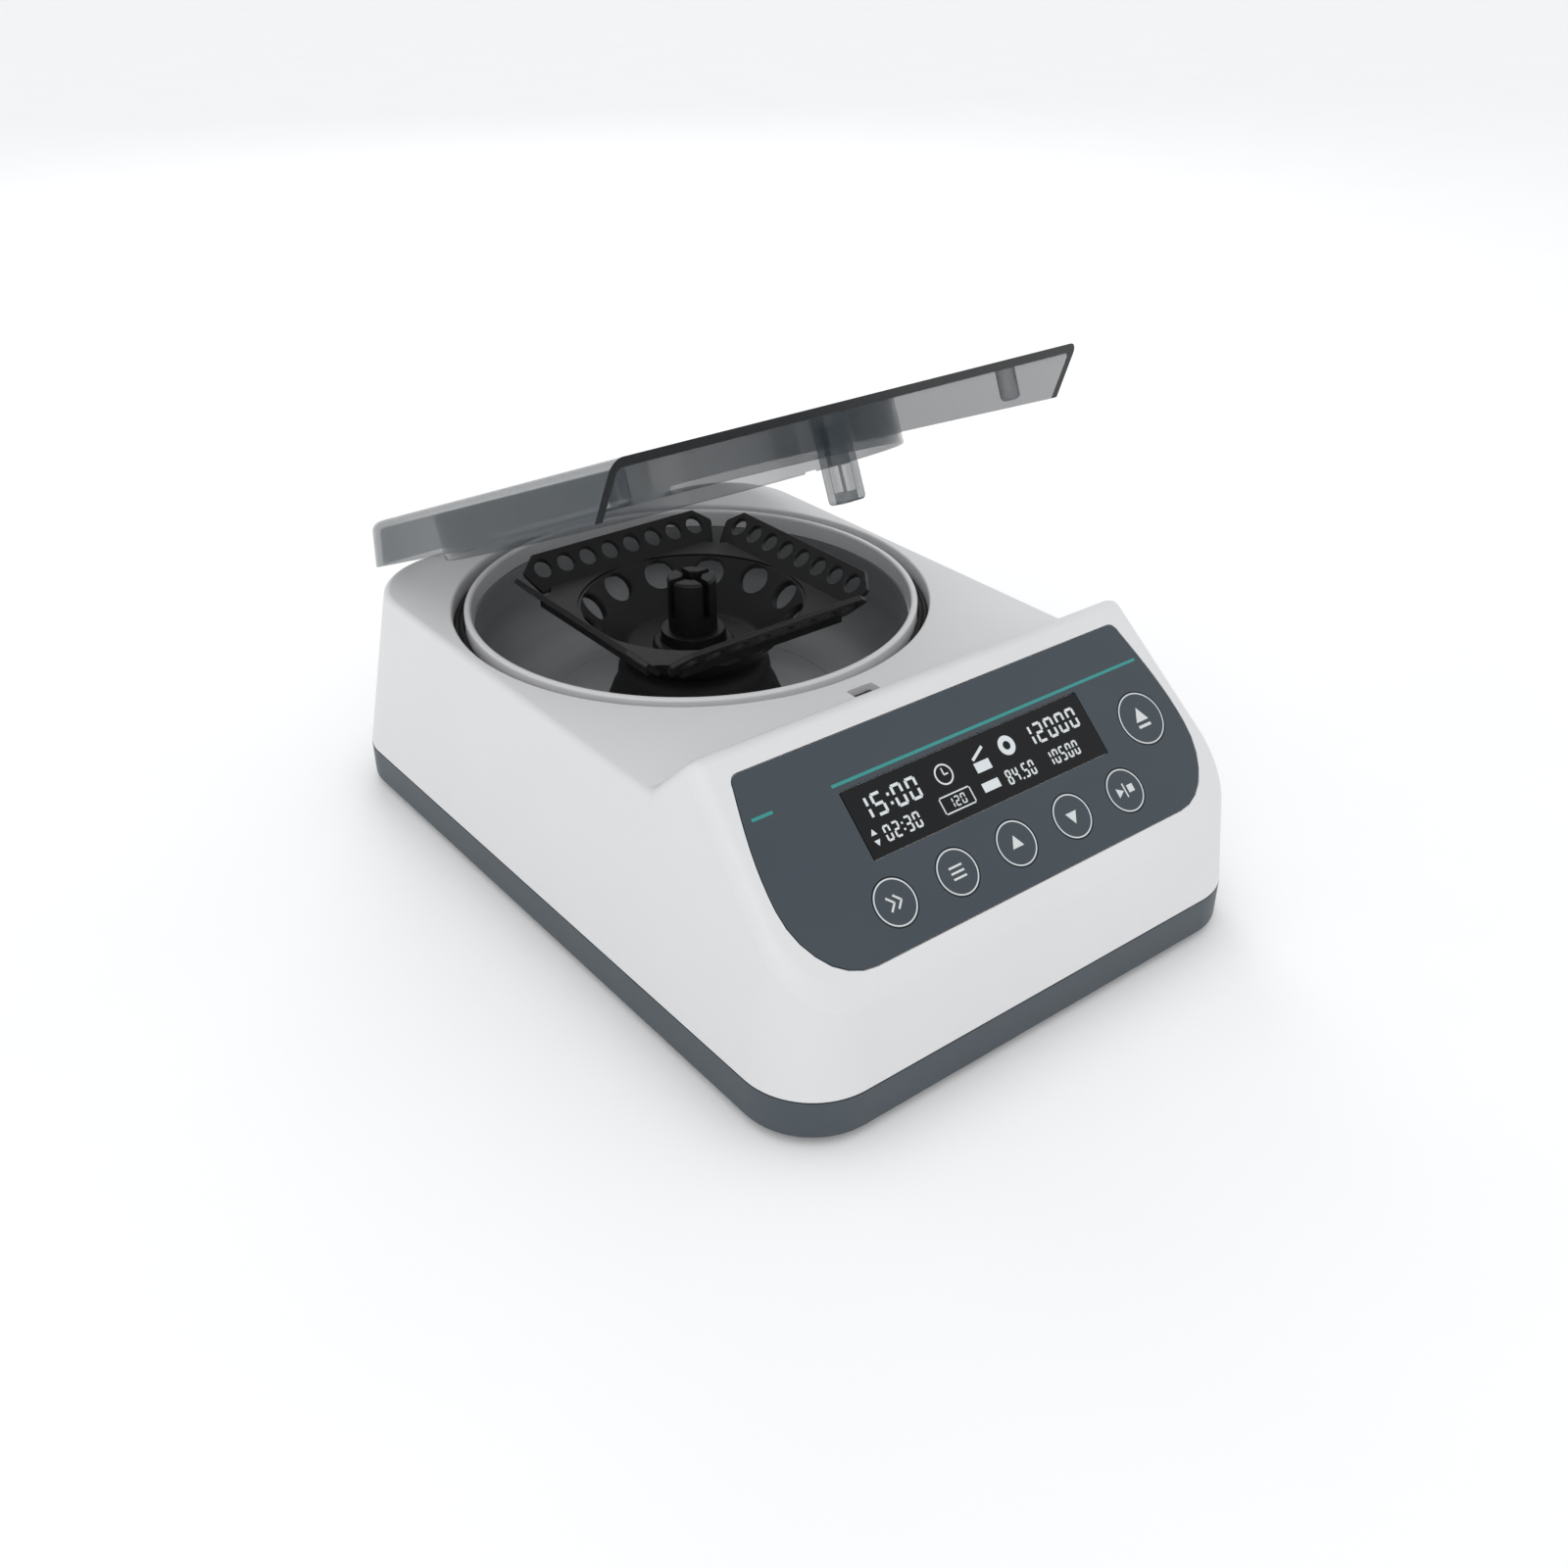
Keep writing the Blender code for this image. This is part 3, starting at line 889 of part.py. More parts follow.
# ---------------------------------------------------------------- power inlet, switch and board
cut(shell, box("inlet_hole", (INLET_SIZE[0] + 2 * GAP, 20 * MM, INLET_SIZE[1] + 2 * GAP), (INLET_X, 0, 0),
               parent=rear, collection=CUTTERS))
flange_middle = GAP + BEZEL_THICK / 2
inlet = box("power_inlet", (INLET_SIZE[0], INLET_DEPTH, INLET_SIZE[1]),
            (INLET_X, flange_middle - INLET_DEPTH / 2, 0), parent=rear, material=BLACK)
flange_size = (INLET_SIZE[0] + 2 * INLET_FLANGE, BEZEL_THICK, INLET_SIZE[1] + 2 * INLET_FLANGE)
join(inlet, box("inlet_flange", flange_size, (INLET_X, flange_middle, 0), parent=rear, collection=CUTTERS))
socket = (INLET_SIZE[0] - 2 * INLET_WALL[0], 2 * SOCKET_DEPTH, INLET_SIZE[1] - 2 * INLET_WALL[1])
cut(inlet, box("inlet_socket", socket, (INLET_X, 0, 0), parent=rear, collection=CUTTERS))
pin_y = PIN_SIZE[1] / 2 - SOCKET_DEPTH - 2 * MM
for number, (x, z) in enumerate(((-PIN_REACH, 1.5 * MM), (0.0, -2.5 * MM), (PIN_REACH, 1.5 * MM))):
    join(inlet, box(f"inlet_pin_{number}", PIN_SIZE, (INLET_X + x, pin_y, z), parent=rear,
                    collection=CUTTERS))

body_plan = (ROCKER_BEZEL[0] - 3 * MM, ROCKER_BEZEL[1] - 3 * MM)
cut(shell, box("switch_hole", (body_plan[0] + 2 * GAP, 20 * MM, body_plan[1] + 2 * GAP), (SWITCH_X, 0, 0),
               parent=rear, collection=CUTTERS))
switch_depth = 2 * ROCKER_WELL
switch = box("switch_body", (body_plan[0], switch_depth, body_plan[1]),
             (SWITCH_X, flange_middle - switch_depth / 2, 0), parent=rear, material=BLACK)
join(switch, box("switch_bezel", (ROCKER_BEZEL[0], BEZEL_THICK, ROCKER_BEZEL[1]),
                 (SWITCH_X, flange_middle, 0), parent=rear, collection=CUTTERS))
well = (ROCKER_SIZE[0] + 2 * GAP, 2 * ROCKER_WELL, ROCKER_SIZE[1] + 2.4 * MM)
cut(switch, box("switch_well", well, (SWITCH_X, 0, 0), parent=rear, collection=CUTTERS))
rocker_axis = frame_at("rocker_axis", (SWITCH_X, -ROCKER_AXIS_DEPTH, 0), ROCKER_TILT, parent=rear)
rocker_half = ROCKER_SIZE[1] / 2
rocker_profile = [(3.2 * MM, -rocker_half), (2.4 * MM, 0.0), (3.2 * MM, rocker_half),
                  (-1.5 * MM, rocker_half - 1 * MM), (-3.5 * MM, 0.0), (-1.5 * MM, 1 * MM - rocker_half)]
side_prism("power_rocker", rocker_profile, ROCKER_SIZE[0], parent=rocker_axis, material=BLACK)

cut(shell, boxes("rear_vents", (REAR_VENT[0], 20 * MM, REAR_VENT[1]),
                 [(0, wall_y(REAR_PANEL_Z), REAR_VENT_LOW_Z + step * REAR_VENT_PITCH)
                  for step in range(REAR_VENT_COUNT)]))

power_board = box("power_board", (*POWER_BOARD_SIZE, BOARD), (0, POWER_BOARD_Y, POWER_BOARD_Z + BOARD / 2),
                  material=CIRCUIT)
BOARD_BLOCKS = ((-38 * MM, (30 * MM, 26 * MM, 20 * MM)), (0.0, (16 * MM, 16 * MM, 18 * MM)),
                (30 * MM, (22 * MM, 30 * MM, 12 * MM)))
for number, (x, size) in enumerate(BOARD_BLOCKS):
    join(power_board, box(f"board_part_{number}", size,
                          (x, POWER_BOARD_Y, POWER_BOARD_Z + BOARD / 2 + size[2] / 2), collection=CUTTERS))
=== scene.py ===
"""Laboratory centrifuge: the finish of every surface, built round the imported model.

Metres, +Z up, the control panel towards -Y. Each section makes one piece or a group of like pieces, in
the order in which the machine goes together: base, chamber, rotor, case, panel, rear fittings and lid.
"""

import math

import bmesh
import bpy
from mathutils import Matrix, Vector


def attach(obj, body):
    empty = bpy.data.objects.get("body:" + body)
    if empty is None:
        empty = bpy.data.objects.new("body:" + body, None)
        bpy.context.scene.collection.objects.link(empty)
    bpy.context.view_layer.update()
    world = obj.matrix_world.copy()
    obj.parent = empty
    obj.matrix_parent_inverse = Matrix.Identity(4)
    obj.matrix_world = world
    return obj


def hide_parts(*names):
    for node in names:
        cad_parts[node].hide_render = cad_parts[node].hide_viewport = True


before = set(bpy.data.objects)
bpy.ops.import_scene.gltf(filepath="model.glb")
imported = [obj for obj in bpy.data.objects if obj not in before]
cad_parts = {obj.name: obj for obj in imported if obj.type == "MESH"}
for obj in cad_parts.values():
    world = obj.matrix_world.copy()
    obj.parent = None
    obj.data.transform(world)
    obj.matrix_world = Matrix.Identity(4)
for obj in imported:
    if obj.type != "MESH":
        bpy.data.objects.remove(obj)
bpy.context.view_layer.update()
MM = 0.001

# ================================================================ camera, floor and studio light
# The machine stands on a pale seamless floor, seen from the front left and a little above, under one
# broad soft key, with an even pale surround for fill. The view transform is the plain one, so that a
# surface keeps its own colour.
camera = bpy.data.objects.new("camera", bpy.data.cameras.new("camera"))
camera.data.lens = 35.4
camera.data.sensor_width = 36.0
camera.location = (-0.26754, -0.34981, 0.29026)
camera.rotation_euler = (math.radians(58.374), 0.0, math.radians(-38.199))
bpy.context.scene.collection.objects.link(camera)
bpy.context.scene.camera = camera
bpy.context.scene.view_settings.view_transform = "Standard"
bpy.context.scene.cycles.transparent_max_bounces = 32


def from_hex(text):
    """An sRGB hex colour as linear red, green, blue and alpha."""
    parts = [int(text[i:i + 2], 16) / 255 for i in (0, 2, 4)]
    return (*[c / 12.92 if c <= 0.04045 else ((c + 0.055) / 1.055) ** 2.4 for c in parts], 1.0)


def add_node(material, kind, settings=None, links=None):
    """Adds a node to a material, with its settings and what feeds its inputs."""
    made = material.node_tree.nodes.new(kind)
    for name, value in (settings or {}).items():
        if isinstance(name, int) or name in made.inputs:
            made.inputs[name].default_value = value
        else:
            setattr(made, name, value)
    for name, source in (links or {}).items():
        material.node_tree.links.new(source, made.inputs[name])
    return made


def new_finish(name, colour, roughness, metallic=0.0, ior=1.5):
    """A material whose Principled shader starts from typical values; also gives its object coordinates."""
    made = bpy.data.materials.new(name)
    made.use_nodes = True
    shader = made.node_tree.nodes["Principled BSDF"]
    shader.inputs["Base Color"].default_value = from_hex(colour)
    shader.inputs["Roughness"].default_value = roughness
    shader.inputs["Metallic"].default_value = metallic
    shader.inputs["IOR"].default_value = ior
    return made, shader, add_node(made, "ShaderNodeTexCoord").outputs["Object"]


def only(*things):
    """Leaves only these objects selected, the first one active."""
    bpy.ops.object.select_all(action="DESELECT")
    for thing in things:
        thing.select_set(True)
    bpy.context.view_layer.objects.active = things[0]


def take_new(name):
    """Names the primitive just added and moves its place into its mesh."""
    made = bpy.context.object
    made.name = name
    made.data.name = name
    only(made)
    bpy.ops.object.transform_apply(location=True, rotation=True, scale=True)
    return made


world = bpy.data.worlds.new("studio")
bpy.context.scene.world = world
world.use_nodes = True
world.node_tree.nodes["Background"].inputs["Color"].default_value = from_hex("F8F9FA")
world.node_tree.nodes["Background"].inputs["Strength"].default_value = 1.0

floor_paper, floor_shader, floor_place = new_finish("seamless_paper", "F9F9F9", 0.9)
mottle = add_node(floor_paper, "ShaderNodeTexNoise", {"Scale": 12.0, "Detail": 3.0}, {"Vector": floor_place})
tint = add_node(floor_paper, "ShaderNodeMix", {"data_type": "RGBA", "A": from_hex("F8F8F8"),
                                               "B": from_hex("FBFBFB")}, {"Factor": mottle.outputs["Fac"]})
floor_paper.node_tree.links.new(tint.outputs["Result"], floor_shader.inputs["Base Color"])
bpy.ops.mesh.primitive_plane_add(size=30.0, location=(0, 0, -0.0002))
floor = take_new("floor")
floor.data.materials.append(floor_paper)


def soft_light(name, place, aim, size, power):
    """A square area light aimed at a point."""
    lamp = bpy.data.lights.new(name, "AREA")
    lamp.size = size
    lamp.energy = power
    holder = bpy.data.objects.new(name, lamp)
    holder.location = place
    holder.rotation_euler = (Vector(aim) - Vector(place)).to_track_quat("-Z", "Y").to_euler()
    bpy.context.scene.collection.objects.link(holder)


soft_light("key", (-0.9, -0.9, 0.95), (0, 0, 0.06), 0.9, 3.0)
soft_light("back_strip", (0.5, 1.0, 0.8), (0, 0, 0.06), 0.6, 2.5)

# ================================================================ base tray
# The shallow dish that the machine stands on: injection moulded slate-grey ABS with round corners, open
# at the top, vented under the power board and pocketed for the feet. The case stands on its edge.
BODY_HALF = 89.85 * MM
BODY_REACH = 129.8 * MM
LEAN = 0.119                    # walls lean in by this much of their height
BAND_LOW = 2.5 * MM
BAND_TOP = 14.5 * MM
WALL = 2.5 * MM
CORNER_FRONT = 22.5 * MM
CORNER_BACK = 22.5 * MM
CORNER_BACK_GROWTH = 7.5 / 60.45    # back corners widen with height


def pick(thing, kind, test):
    """In edit mode, selects the vertices, edges or faces whose middle and self pass a test."""
    bpy.ops.mesh.select_mode(type=kind)
    bpy.ops.mesh.select_all(action="DESELECT")
    bm = bmesh.from_edit_mesh(thing.data)
    bm.normal_update()
    kinds = {"VERT": bm.verts, "EDGE": bm.edges, "FACE": bm.faces}
    for item in kinds[kind]:
        if kind == "VERT":
            middle = item.co
        else:
            middle = sum((v.co for v in item.verts), Vector()) / len(item.verts)
        if test(middle, item):
            item.select_set(True)
    bm.select_flush_mode()
    bmesh.update_edit_mesh(thing.data)


def rounded_plan(z, inset):
    """A flat plate with the case's outline at height z, its corners rounded."""
    rise = max(z - BAND_TOP, 0.0)
    half = BODY_HALF - LEAN * rise - inset
    reach = BODY_REACH - LEAN * rise - inset
    front = CORNER_FRONT - LEAN * rise - inset
    back = CORNER_BACK + CORNER_BACK_GROWTH * rise - inset
    bpy.ops.mesh.primitive_plane_add(size=1.0, location=(0, 0, z))
    bpy.context.object.scale = (2 * half, 2 * reach, 1)
    plan = take_new("plan")
    bpy.ops.object.mode_set(mode="EDIT")
    pick(plan, "VERT", lambda place, vert: place.y > 0)
    bpy.ops.mesh.bevel(offset=back, segments=20, affect="VERTICES", clamp_overlap=False)
    pick(plan, "VERT", lambda place, vert: place.y < 0 and abs(place.x) > half - MM)
    bpy.ops.mesh.bevel(offset=front, segments=20, affect="VERTICES", clamp_overlap=False)
    bpy.ops.mesh.select_all(action="SELECT")
    bpy.ops.mesh.delete(type="ONLY_FACE")
    bpy.ops.object.mode_set(mode="OBJECT")
    return plan


def case_form(name, levels):
    """A closed solid between two outlines of the case; each level is (height, inset)."""
    plans = [rounded_plan(z, inset) for z, inset in levels]
    only(*plans)
    bpy.ops.object.join()
    form = bpy.context.object
    form.name = name
    bpy.ops.object.mode_set(mode="EDIT")
    bpy.ops.mesh.select_mode(type="EDGE")
    bpy.ops.mesh.select_all(action="SELECT")
    bpy.ops.mesh.bridge_edge_loops()
    for level in (levels[0][0], levels[-1][0]):
        pick(form, "EDGE", lambda place, edge: abs(place.z - level) < 0.01 * MM
             and abs(edge.verts[0].co.z - edge.verts[1].co.z) < 0.01 * MM)
        bpy.ops.mesh.edge_face_add()
    bpy.ops.mesh.select_all(action="SELECT")
    bpy.ops.mesh.normals_make_consistent(inside=False)
    bpy.ops.object.mode_set(mode="OBJECT")
    return form


def apply_step(thing, kind, **settings):
    """Adds one modifier with its settings and applies it."""
    only(thing)
    step = thing.modifiers.new(kind.lower(), kind)
    for name, value in settings.items():
        setattr(step, name, value)
    bpy.ops.object.modifier_apply(modifier=step.name)


def carve(thing, tool, operation="DIFFERENCE", solver="EXACT"):
    """Cuts a tool out of a piece, or joins it on, and uses the tool up. Stops if the piece is left torn."""
    apply_step(thing, "BOOLEAN", object=tool, operation=operation, solver=solver)
    bpy.data.objects.remove(tool)
    surface = bmesh.new()
    surface.from_mesh(thing.data)
    torn = any(len(edge.link_faces) != 2 for edge in surface.edges)
    surface.free()
    if torn:
        raise RuntimeError(f"{thing.name} isn't closed after a cut")


def block(name, low, high, rounding=0.0, which=lambda place, edge: True):
    """A block between two corners, some of its edges rounded."""
    low, high = Vector(low), Vector(high)
    bpy.ops.mesh.primitive_cube_add(size=1.0, location=(low + high) / 2)
    bpy.context.object.scale = high - low
    made = take_new(name)
    if rounding:
        bpy.ops.object.mode_set(mode="EDIT")
        pick(made, "EDGE", which)
        bpy.ops.mesh.bevel(offset=rounding, segments=5, affect="EDGES", clamp_overlap=False)
        bpy.ops.object.mode_set(mode="OBJECT")
    return made


def upright(place, edge):
    """True for an edge that runs along Z."""
    return abs(edge.verts[0].co.z - edge.verts[1].co.z) > 0.5 * edge.calc_length()


def drum(name, radius, low, high, place, steps=32):
    """A plain cylinder standing between two heights."""
    bpy.ops.mesh.primitive_cylinder_add(vertices=steps, radius=radius, depth=high - low,
                                        location=(place[0], place[1], (low + high) / 2))
    return take_new(name)


def soften(thing, angle=32.0):
    """Smooth shading that stays crisp at real edges and flat on broad faces."""
    only(thing)
    bpy.ops.object.shade_smooth_by_angle(angle=math.radians(angle))
    apply_step(thing, "WEIGHTED_NORMAL", weight=50, keep_sharp=True)


def finish_piece(thing, material, body, slot, *nodes):
    """Gives a piece its material and its place in the model."""
    # a solver can leave an empty slot behind, which would hide the material
    if all(held is None for held in thing.data.materials):
        thing.data.materials.clear()
        thing.data.materials.append(material)
        thing.data.polygons.foreach_set("material_index", [0] * len(thing.data.polygons))
    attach(thing, body)
    if nodes:
        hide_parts(*nodes)


def moulded_abs(name, low_colour, high_colour, roughness, grain, depth):
    """Injection moulded ABS: a spark-eroded grain that breaks the gloss, and flow clouds in its colour."""
    made, shader, place = new_finish(name, low_colour, roughness, ior=1.53)
    cloud = add_node(made, "ShaderNodeTexNoise", {"Scale": 1 / (45 * MM), "Detail": 3.0}, {"Vector": place})
    shade = add_node(made, "ShaderNodeMix", {"data_type": "RGBA", "A": from_hex(low_colour),
                                             "B": from_hex(high_colour)}, {"Factor": cloud.outputs["Fac"]})
    fine = add_node(made, "ShaderNodeTexNoise", {"Scale": 1 / grain, "Detail": 4.0, "Roughness": 0.6},
                    {"Vector": place})
    gloss = add_node(made, "ShaderNodeMapRange", {"To Min": roughness - 0.05, "To Max": roughness + 0.07},
                     {"Value": fine.outputs["Fac"]})
    bump = add_node(made, "ShaderNodeBump", {"Strength": 0.35, "Distance": depth},
                    {"Height": fine.outputs["Fac"]})
    made.node_tree.links.new(shade.outputs["Result"], shader.inputs["Base Color"])
    made.node_tree.links.new(gloss.outputs["Result"], shader.inputs["Roughness"])
    made.node_tree.links.new(bump.outputs["Normal"], shader.inputs["Normal"])
    return made


# the real grain is about 0.1 mm; it is drawn at 0.5 mm so that it shows
slate_abs = moulded_abs("slate_moulded_abs", "3A434A", "40494F", 0.48, 0.5 * MM, 0.04 * MM)

FOOT_PLACES = [(sx * 66 * MM, y) for sx in (1, -1) for y in (-105 * MM, 107 * MM)]
tray = case_form("base_tray_shell", [(BAND_LOW, 0.0), (BAND_TOP, 0.0)])
bpy.ops.object.mode_set(mode="EDIT")
pick(tray, "EDGE", lambda place, edge: abs(place.z - BAND_LOW) < 0.01 * MM)
bpy.ops.mesh.bevel(offset=0.8 * MM, segments=4, affect="EDGES", clamp_overlap=False)
pick(tray, "EDGE", lambda place, edge: abs(place.z - BAND_TOP) < 0.01 * MM)
bpy.ops.mesh.bevel(offset=0.25 * MM, segments=2, affect="EDGES", clamp_overlap=False)
bpy.ops.object.mode_set(mode="OBJECT")
carve(tray, case_form("tray_hollow", [(5.5 * MM, WALL), (BAND_TOP + 2 * MM, WALL)]))
for x, y in FOOT_PLACES:
    carve(tray, drum("foot_pocket", 8.8 * MM, 0.0, 3.9 * MM, (x, y), 48))
    carve(tray, drum("screw_hole", 1.8 * MM, 0.0, 9 * MM, (x, y), 24))
for step in range(6):
    y = -30 * MM - step * 6 * MM
    carve(tray, block("tray_vent", (-18 * MM, y - 1.2 * MM, 0), (18 * MM, y + 1.2 * MM, 9 * MM), 1.15 * MM,
                      upright))
soften(tray)
finish_piece(tray, slate_abs, "case", "slate_base", "base_tray")

# ---------------------------------------------------------------- feet and screws
# Four soft rubber pucks pressed into pockets, each with a countersunk steel screw through its middle.
# The rubber is dull and holds a little dust; the sole is worn smooth at its edge.
rubber, rubber_shader, rubber_place = new_finish("moulded_rubber", "1B1B1C", 0.75, ior=1.52)
rubber_grain = add_node(rubber, "ShaderNodeTexNoise", {"Scale": 1 / (0.7 * MM), "Detail": 4.0},
                        {"Vector": rubber_place})
rubber_dust = add_node(rubber, "ShaderNodeTexNoise", {"Scale": 1 / (9 * MM), "Detail": 3.0},
                       {"Vector": rubber_place})
rubber_tint = add_node(rubber, "ShaderNodeMix", {"data_type": "RGBA", "A": from_hex("161617"),
                                                 "B": from_hex("232324")}, {"Factor": rubber_dust.outputs["Fac"]})
rubber_bump = add_node(rubber, "ShaderNodeBump", {"Strength": 0.4, "Distance": 0.05 * MM},
                       {"Height": rubber_grain.outputs["Fac"]})
rubber.node_tree.links.new(rubber_tint.outputs["Result"], rubber_shader.inputs["Base Color"])
rubber.node_tree.links.new(rubber_bump.outputs["Normal"], rubber_shader.inputs["Normal"])


def turned_steel(name, colour, roughness, ring):
    """Steel turned on a lathe and bright plated: fine bump marks and scuffs in its gloss that break the highlight.
    """
    made, shader, place = new_finish(name, colour, roughness, 1.0)
    rings = add_node(made, "ShaderNodeTexNoise", {"Scale": 1 / ring, "Detail": 2.0}, {"Vector": place})
    scuff = add_node(made, "ShaderNodeTexNoise", {"Scale": 1 / (4 * MM), "Detail": 4.0}, {"Vector": place})
    gloss = add_node(made, "ShaderNodeMapRange", {"To Min": roughness - 0.08, "To Max": roughness + 0.12},
                     {"Value": scuff.outputs["Fac"]})
    bump = add_node(made, "ShaderNodeBump", {"Strength": 0.15, "Distance": 0.02 * MM},
                    {"Height": rings.outputs["Fac"]})
    made.node_tree.links.new(gloss.outputs["Result"], shader.inputs["Roughness"])
    made.node_tree.links.new(bump.outputs["Normal"], shader.inputs["Normal"])
    return made


steel = turned_steel("turned_plated_steel", "B9BABC", 0.3, 0.3 * MM)


def turn(name, middle, rings, steps=96, closed=True):
    """A round piece: a circle extruded and scaled from ring to ring of (radius, height)."""
    x, y = middle
    bpy.ops.mesh.primitive_circle_add(vertices=steps, radius=rings[0][0], location=(x, y, rings[0][1]))
    made = take_new(name)
    bpy.ops.object.mode_set(mode="EDIT")
    bpy.ops.mesh.select_mode(type="EDGE")
    bpy.ops.mesh.select_all(action="SELECT")
    if not closed:
        bpy.ops.mesh.edge_face_add()
    radius, height = rings[0]
    for next_radius, next_height in rings[1:] + (rings[:1] if closed else []):
        bpy.ops.mesh.extrude_region_move(TRANSFORM_OT_translate={"value": (0, 0, next_height - height)})
        grow = next_radius / radius
        bpy.ops.transform.resize(value=(grow, grow, 1), center_override=(x, y, next_height))
        radius, height = next_radius, next_height
    bpy.ops.mesh.select_all(action="SELECT")
    bpy.ops.mesh.remove_doubles(threshold=0.001 * MM)
    bpy.ops.mesh.normals_make_consistent(inside=False)
    bpy.ops.object.mode_set(mode="OBJECT")
    return made


def arc(middle, radius, start, stop, steps):
    """Points of (radius, height) along an arc between two angles in degrees."""
    angles = [math.radians(start + (stop - start) * i / steps) for i in range(steps + 1)]
    return [(middle[0] + radius * math.cos(a), middle[1] + radius * math.sin(a)) for a in angles]


for number, (x, y) in enumerate([(sx * 66 * MM, y) for y in (-105 * MM, 107 * MM) for sx in (1, -1)]):
    rings = [(3.3 * MM, 2.0 * MM), (3.3 * MM, 0.2 * MM), (3.5 * MM, 0.0)]
    rings += arc((7.7 * MM, 0.8 * MM), 0.8 * MM, -90, 0, 4)
    rings += [(8.5 * MM, 3.3 * MM), (8.2 * MM, 3.6 * MM), (1.8 * MM, 3.6 * MM), (1.8 * MM, 2.0 * MM)]
    foot = turn(f"rubber_foot_{number}", (x, y), rings, 48)
    soften(foot)
    finish_piece(foot, rubber, "case", "black_rubber", f"foot_{number}")
    rings = [(2.4 * MM, 0.5 * MM)] + arc((2.6 * MM, 0.9 * MM), 0.4 * MM, -90, 0, 3)
    rings += [(3.0 * MM, 1.8 * MM), (1.5 * MM, 1.8 * MM), (1.5 * MM, 21.6 * MM), (1.1 * MM, 22.0 * MM)]
    screw = turn(f"steel_screw_{number}", (x, y), rings, 32, closed=False)
    for plan in ((1.9 * MM, 0.35 * MM), (0.35 * MM, 1.9 * MM)):
        carve(screw, block("cross", (x - plan[0], y - plan[1], 0), (x + plan[0], y + plan[1], 1.3 * MM)))
    soften(screw)
    finish_piece(screw, steel, "case", "bright_steel", f"base_screw_{number}")

# ================================================================ chamber
# The hole in the deck is lined by a bright white ring of ABS, a black rubber seal in the groove round
# it, and below them a spun steel bowl, brushed on the lathe in fine rings. A dull black rubber boot
# covers the motor in the middle of its floor.
DECK = 74.95 * MM
AXIS = (0.0, 39.8 * MM)
white_abs = moulded_abs("white_moulded_abs", "D6D6D7", "DBDBDC", 0.42, 0.6 * MM, 0.03 * MM)

rings = [(75.1 * MM, 68.97 * MM)] + arc((74.1 * MM, 73.97 * MM), 1.0 * MM, 0, 90, 6)
rings += arc((73.8 * MM, 73.97 * MM), 1.0 * MM, 90, 180, 6) + [(72.8 * MM, 68.97 * MM)]
rim = turn("chamber_rim_ring", AXIS, rings, 160)
soften(rim)
finish_piece(rim, white_abs, "case", "white_case", "chamber_rim")

rings = [(75.4 * MM, 66.95 * MM)] + arc((76.2 * MM, 69.45 * MM), 0.8 * MM, 180, 0, 6)
rings += arc((77.85 * MM, 69.45 * MM), 0.8 * MM, 180, 0, 6) + [(78.65 * MM, 66.95 * MM)]
seal = turn("rubber_groove_seal", AXIS, rings, 160)
soften(seal)
finish_piece(seal, rubber, "case", "black_rubber", "groove_seal")

spun_steel, spun_shader, spun_place = new_finish("spun_brushed_steel", "BABCBE", 0.52, 1.0)
# distance from the spin axis, so that the brush marks run round it
spun_centre = add_node(spun_steel, "ShaderNodeVectorMath", {"operation": "SUBTRACT", 1: (*AXIS, 0.0)},
                       {"Vector": spun_place})
spun_parts = add_node(spun_steel, "ShaderNodeSeparateXYZ", {}, {"Vector": spun_centre.outputs["Vector"]})
spun_flat = add_node(spun_steel, "ShaderNodeCombineXYZ", {}, {"X": spun_parts.outputs["X"],
                                                              "Y": spun_parts.outputs["Y"]})
spun_radius = add_node(spun_steel, "ShaderNodeVectorMath", {"operation": "LENGTH"},
                       {"Vector": spun_flat.outputs["Vector"]})
spun_track = add_node(spun_steel, "ShaderNodeCombineXYZ", {}, {"X": spun_radius.outputs["Value"],
                                                               "Z": spun_parts.outputs["Z"]})
# brush marks about 0.8 mm apart, on softer bands 9 mm wide
spun_marks = add_node(spun_steel, "ShaderNodeTexNoise", {"Scale": 1 / (0.8 * MM), "Detail": 3.0},
                      {"Vector": spun_track.outputs["Vector"]})
spun_bands = add_node(spun_steel, "ShaderNodeTexNoise", {"Scale": 1 / (9 * MM), "Detail": 2.0},
                      {"Vector": spun_track.outputs["Vector"]})
spun_stain = add_node(spun_steel, "ShaderNodeTexNoise", {"Scale": 1 / (16 * MM), "Detail": 4.0},
                      {"Vector": spun_place})
spun_tint = add_node(spun_steel, "ShaderNodeMix", {"data_type": "RGBA", "A": from_hex("AEB0B2"),
                                                   "B": from_hex("C6C8CA")},
                     {"Factor": spun_bands.outputs["Fac"]})
spun_gloss = add_node(spun_steel, "ShaderNodeMapRange", {"To Min": 0.48, "To Max": 0.62},
                      {"Value": spun_stain.outputs["Fac"]})
spun_bump = add_node(spun_steel, "ShaderNodeBump", {"Strength": 0.3, "Distance": 0.04 * MM},
                     {"Height": spun_marks.outputs["Fac"]})
spun_steel.node_tree.links.new(spun_tint.outputs["Result"], spun_shader.inputs["Base Color"])
spun_steel.node_tree.links.new(spun_gloss.outputs["Result"], spun_shader.inputs["Roughness"])
spun_steel.node_tree.links.new(spun_bump.outputs["Normal"], spun_shader.inputs["Normal"])

